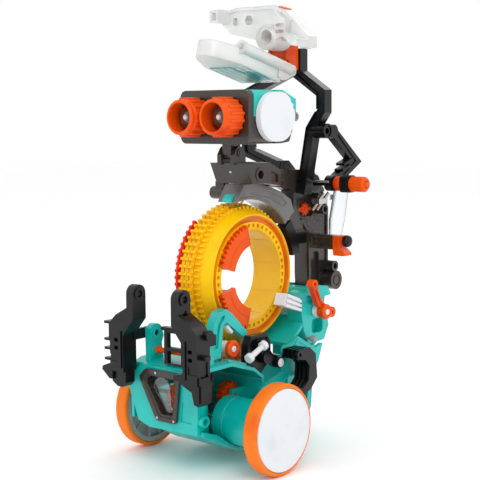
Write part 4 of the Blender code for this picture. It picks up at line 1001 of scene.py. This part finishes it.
def upper_jaw():
    """The wide upper beam with its prongs, round boss, hexagonal hole, button and latch."""
    beam = [(-45, 317), (-45, 326), (-38, 326.5), (-28, 328), (5.6, 327.7), (16, 324), (24, 316),
            (37, 304), (37, 296), (31, 295), (22, 303), (5, 300), (-10, 303), (-36, 309)]
    boss = (4.5, 304)
    pieces = [
        prism(beam, 67.5, 79, "Y"),
        prism([(-45, 317), (-45, 326), (-37, 326.5), (-37, 316)], 54, 68, "Y"),
        prism([(31, 297), (31, 304), (37, 301), (37, 296)], 54, 68, "Y"),
        disc(boss, 9.5, 60, 79, 20, "Y"),
        prism([(78, 306), (78, 313), *arc(UPPER_JAW, 3.2, 80, -80, 6)], -4.9, 4.9),
        prism(strip([(-37, 325), (-28, 326.6), (5, 326.3), (15, 322.8), (23, 315)], 2.4), 66, 68, "Y"),
        prism(strip([(-35, 310.6), (-10, 304.6)], 2.4), 66, 68, "Y"),
        prism([(12, 303), (12, 323), (22, 316), (22, 304)], 60, 68, "Y"),
        prism(strip([(23, 305), (30, 299.5), (35.5, 299.5)], 4), 58, 68, "Y"),
    ]
    holes = [disc(boss, 5.4, 50, 72, 16, "Y"), disc((-18, 318), 4, 50, 90, 6, "Y"),
             disc(UPPER_JAW, 2.0, -10, 10), box((-43, -39), (50, 60), (318.5, 324)),
             disc((-31, 317.5), 3.0, 60, 72, 14, "Y")]
    holes += [box((13.4, 20.6), (56, 64), (z, z + 2.4)) for z in (306.5, 311)]
    solid("jaw_upper", "frosted", pieces, holes)
    button = [(69, 0), (69, 3.4), (72.2, 3.4), (72.2, 0)]
    extra("jaw_upper_button", "red", [turned_y(button, (6.2, 303), 16)], body="upper_jaw", soft=0.2)
    latch = [(9, 326.0), (9, 327.2), (15.5, 325.0), (15.5, 323.6)]
    extra("jaw_upper_latch", "red_orange", [prism(latch, 69, 77, "Y")], body="upper_jaw", soft=0.2)


def front_arms():
    """The two grabber arms: eye plate, slanted shoulder, body, foot, hook and pivot lug; one has fins."""
    eye_centre = (-53.5, 125.5)
    eye = [(-60, 108), (-60, 125.5), *arc(eye_centre, 6.5, 170, 10, 8), (-47, 125.5), (-47, 108)]
    shoulder_plate = [(18, 108), (18, 116), (24, 116), (35, 110), (41, 104), (41, 96), (28, 96)]
    foot = [(24, 70), (28, 77), (41, 77), (44, 71), (44, 58.5), (41, 56), (37, 57), (35, 65), (28, 68)]
    ends = {
        "left": [
            prism(foot, -59, -49, "Y"),
            prism([(19, 72), (20, 75), (30, 77), (30, 70)], -60, -50, "Y"),
            disc((-50, 103), 3.6, 40, 44, 14),
            box((40, 46), (-56, -52), (87, 90)),
            box((37.5, 42.5), (-60, -58), (59, 70)),
        ],
        "right": [
            prism([(28, 62), (28, 74), (41, 74), (41, 62), (36, 59), (31, 59)], -58, -49, "Y"),
            prism([(39, 76), (48.5, 72.5), (49.5, 70), (42, 64), (39, 64)], -60, -50, "Y"),
            *(box((40, 46.5), (-60, -49), (z, z + 1.8)) for z in (77, 84.5, 91, 103)),
            box((40, 44), (-58, -50), (92, 104)),
        ],
    }
    for side, mirror in SIDES:
        pieces = [
            prism(eye, 18, 24),
            prism(shoulder_plate, -60, -47, "Y"),
            box((28, 41), (-60, -47), (70, 100)),
            box((27, 30), (-50, -28), (91.5, 99)),
            disc(ARM_PIVOT, 1.7, 22, 28),
            tube(eye_centre, 2.6, 4.4, 17.2, 25, 16),
            box((29.4, 31), (-61, -59), (73, 99)),
            *ends[side],
        ]
        holes = [disc(eye_centre, 2.6, 10, 30, 14)]
        holes += [box((33, 36.5), (-70, -40), (z, z + 2.6)) for z in (85.5, 91)]
        holes += [box((33, 41.8), (-62, -59.3), (77, 82)), box((40.2, 42), (-57.5, -49.5), (74, 85)),
                  prism(strip([(-53.5, 110), (-53.5, 118)], 5), 23.2, 26)]
        solid("front_arm_" + side, "black", pieces, holes, mirror=mirror, soft=0.6)


def arm_rod():
    """The rod between the two lugs, with a collar beside each."""
    collars = [disc(ARM_ROD, 2.6, low, low + 2.4) for low in (-20.8, 18.4)]
    solid("arm_rod", "red_orange", [disc(ARM_ROD, 1.9, -28, 28), *collars], soft=0.2)


def latch_frame():
    """The small square frame on the deck between the arms."""
    solid("latch_frame", "black",
          [box((-7, 12), (-41, -37), (75.9, 101)), box((-9, 14), (-42, -37), (99.6, 102))],
          [box((-3.8, 8.8), (-44, -34), z) for z in ((88, 98), (77, 85.2))], soft=0.4)


def follower():
    """The follower block that reads the code segments, its lever and its capped pins."""
    block = [(8, 70.8), (8, 84), (12, 91), (30, 91), (34, 84), (34, 71), (22, 62.3), (12, 69.6)]
    solid("follower_block", "black", [prism(block, 21.5, 28.5)],
          [disc(LEVER_PIVOT, 2.0, 10, 30), prism(rounded((12, 30), (80, 88), 2, 2), 27.2, 30)], soft=0.7)
    end = (36, 69)
    lever = strip([(18, 86), LEVER_PIVOT, end], 8)
    pieces = [prism(lever, 29, 33), disc(LEVER_PIVOT, 1.6, 22, 30), disc(end, 4, 29, 36, 16),
              disc(LEVER_PIVOT, 5, 29, 33.8, 16)]
    solid("follower_lever", "black", pieces)
    tip = [(35.6, 0), (35.6, 3.2), (36.2, 3.2), (36.6, 2.8), (36.6, 0)]
    extra("follower_lever_tip", "white", [turned(tip, end, 16)], body="follower", soft=0)
    half = [(-10.5, 0), (-10.5, 2.9), (-10, 3.4), (-7, 3.4), (-6.5, 2.9), (-6.5, 2.0)]
    pin = turned_y(half + [(-y, radius) for y, radius in half[::-1]], (0, 0), 14)
    solid("follower_pin", "white",
          [placed(pin, 22, "X", (37, 7, 82)), box((33.3, 36.4), (13.5, 17), (82.6, 86.6))], soft=0.15)


def comb_lever():
    """The ribbed shift lever: four C-shaped ribs on a cross shaft."""
    rib = [(36, 73), (37, 79.5), (52, 79.5), (59, 74), (61, 56), (53, 48.5), (44, 45.5), (31, 50),
           (32.5, 54), (44, 50.5), (50.5, 56), (51.5, 66), (47, 71)]
    ribs = [prism(rib, x, x + 2) for x in (37, 40.8, 44.6, 48.4)]
    cap = (39.5, 76)
    pieces = [box((36.9, 50.4), (52.5, 56.5), (54, 72)), *ribs, disc(COMB_PIVOT, 2.8, 32.6, 50.4),
              disc(COMB_PIVOT, 1.7, 29, 34), disc(cap, 3.3, 48, 51, 14)]
    solid("comb_lever", "black", pieces, [disc(cap, 1.4, 49.6, 53)], soft=0.4)


def rear_link():
    """The capped sleeve on the rear bracket and the link on it."""
    top, low_end = (74, 122), (95, 98.5)
    link = strip([top, (82, 107), (93, 99)], 5.5)
    pieces = [disc(LINK_PIVOT, 1.7, 24, 30), prism(link, 33.6, 37.5), disc(LINK_PIVOT, 5, 33.6, 38, 16),
              disc(top, 3.4, 33.6, 39, 14), disc(low_end, 4, 33.6, 40, 14)]
    holes = [disc(top, 1.5, 37, 40, 10), disc(low_end, 1.8, 38, 42, 6),
             prism(strip([(77, 116.5), (82, 107), (86, 104)], 2.4), 36.7, 39)]
    solid("rear_link", "red_orange", pieces, holes, soft=0.4)
    sleeve = [(28.8, 1.9), (28.8, 4.4), (29.2, 4.8), (33.0, 4.8), (33.4, 4.4), (33.4, 1.9)]
    extra("rear_link_sleeve", "white", [turned(sleeve, LINK_PIVOT, 18)], body="link", soft=0)
    cap_piece("rear_link_cap", "link", LINK_PIVOT, 38, 40.6, radius=5.8)


def small_parts():
    """The ribbed pad and the clear drop pin on the rear bracket, which stand for no node."""
    pad = [(50.5, 108), (54, 116.5), (70.8, 111), (70.8, 101)]
    ridges = [prism(strip([(51.5 + a, 107.6 + b), (70.4, 101.5 + b * 0.9)], 2), 26.8, 29.2)
              for a, b in ((0, 0.6), (1.2, 4.2), (2.6, 7.8))]
    extra("bracket_pad", "white", [prism(pad, 18, 27.4), *ridges], soft=0.4)
    clear = [(33.4, 0), (33.4, 2.6), (36.8, 2.6), (37.4, 2.0), (37.4, 0)]
    drop = (77, 80)
    extra("bracket_drop", "smoke", [turned(clear, drop, 12), disc(drop, 1.2, 28, 34)], slot="clear", soft=0)


def floor():
    """A plain white floor under the wheels."""
    bm = bmesh.new()
    bmesh.ops.create_grid(bm, x_segments=8, y_segments=8, size=FLOOR_HALF)
    bmesh.ops.translate(bm, vec=(0, 0, -FLOOR_DROP), verts=bm.verts)
    bmesh.ops.scale(bm, vec=(MM, MM, MM), verts=bm.verts)
    mesh = bpy.data.meshes.new("floor")
    bm.to_mesh(mesh)
    bm.free()
    made = bpy.data.objects.new("floor", mesh)
    bpy.context.scene.collection.objects.link(made)
    surface("floor_paint", (0.99, 0.99, 0.99), (0.98, 0.98, 0.98), 0.8, 0.00002, 0.0, 0.2)
    mesh.materials.append(MATERIALS["floor_paint"])


def lamp(name, energy, size, place, aim):
    """A soft square light that points at a spot."""
    data = bpy.data.lights.new(name, "AREA")
    data.energy = energy
    data.size = size
    made = bpy.data.objects.new(name, data)
    bpy.context.scene.collection.objects.link(made)
    made.location = place
    made.rotation_euler = (Vector(aim) - Vector(place)).to_track_quat("-Z", "Y").to_euler()


def lighting():
    """A white studio with three soft lights."""
    world = bpy.data.worlds.new("studio")
    world.use_nodes = True
    backdrop = world.node_tree.nodes["Background"]
    backdrop.inputs["Color"].default_value = (1.0, 1.0, 1.0, 1.0)
    backdrop.inputs["Strength"].default_value = 1.0
    bpy.context.scene.world = world
    lamp("key", 5.0, 0.7, (0.9, -0.75, 1.15), (0.0, 0.0, 0.16))
    lamp("fill", 1.0, 1.0, (-0.9, -1.0, 0.7), (0.0, 0.0, 0.14))
    lamp("rim", 2.0, 0.8, (-0.2, 1.1, 1.0), (0.0, 0.0, 0.18))
    bpy.context.scene.view_settings.view_transform = "Standard"


def camera():
    """A long lens, a little above the robot's waist and off its left front."""
    turn, rise, tilt = (math.radians(angle) for angle in (CAMERA_TURN, CAMERA_RISE, CAMERA_TILT))
    back = Vector((math.sin(turn) * math.cos(rise), -math.cos(turn) * math.cos(rise), math.sin(rise)))
    right = Vector((math.cos(turn), math.sin(turn), 0))
    up = back.cross(right)
    across = right * math.cos(tilt) + up * math.sin(tilt)
    upright = up * math.cos(tilt) - right * math.sin(tilt)
    pose = Matrix((across, upright, back)).transposed().to_4x4()
    x, y, z = CAMERA_AIM
    pose.translation = (Vector((x, y - CENTRE_Y, z)) + back * CAMERA_DISTANCE) * MM
    data = bpy.data.cameras.new("camera")
    data.sensor_width = CAMERA_SENSOR
    data.lens = CAMERA_LENS
    data.clip_start = 0.01
    made = bpy.data.objects.new("camera", data)
    made.matrix_world = pose
    bpy.context.scene.collection.objects.link(made)
    bpy.context.scene.camera = made


def main():
    """Builds the looks, the pieces and the stage."""
    for build in (make_materials, floor_pan, front_housing, window_bezel, motor_pods, side_frames,
                  rear_tower, rear_skid, caster_wheel, axle_rod, gears, wheels, ring_drum, ring_trim,
                  rollers, roller_brackets, chest_block, hood, spine, guide_strip, bracket_bar,
                  clear_plate, steel_rods, head_shells, ears, eyes, booms, shoulder, bell_crank,
                  claw_mount, lower_jaw, upper_jaw, front_arms, arm_rod, latch_frame, follower,
                  comb_lever, rear_link, small_parts, floor, lighting, camera):
        build()


main()
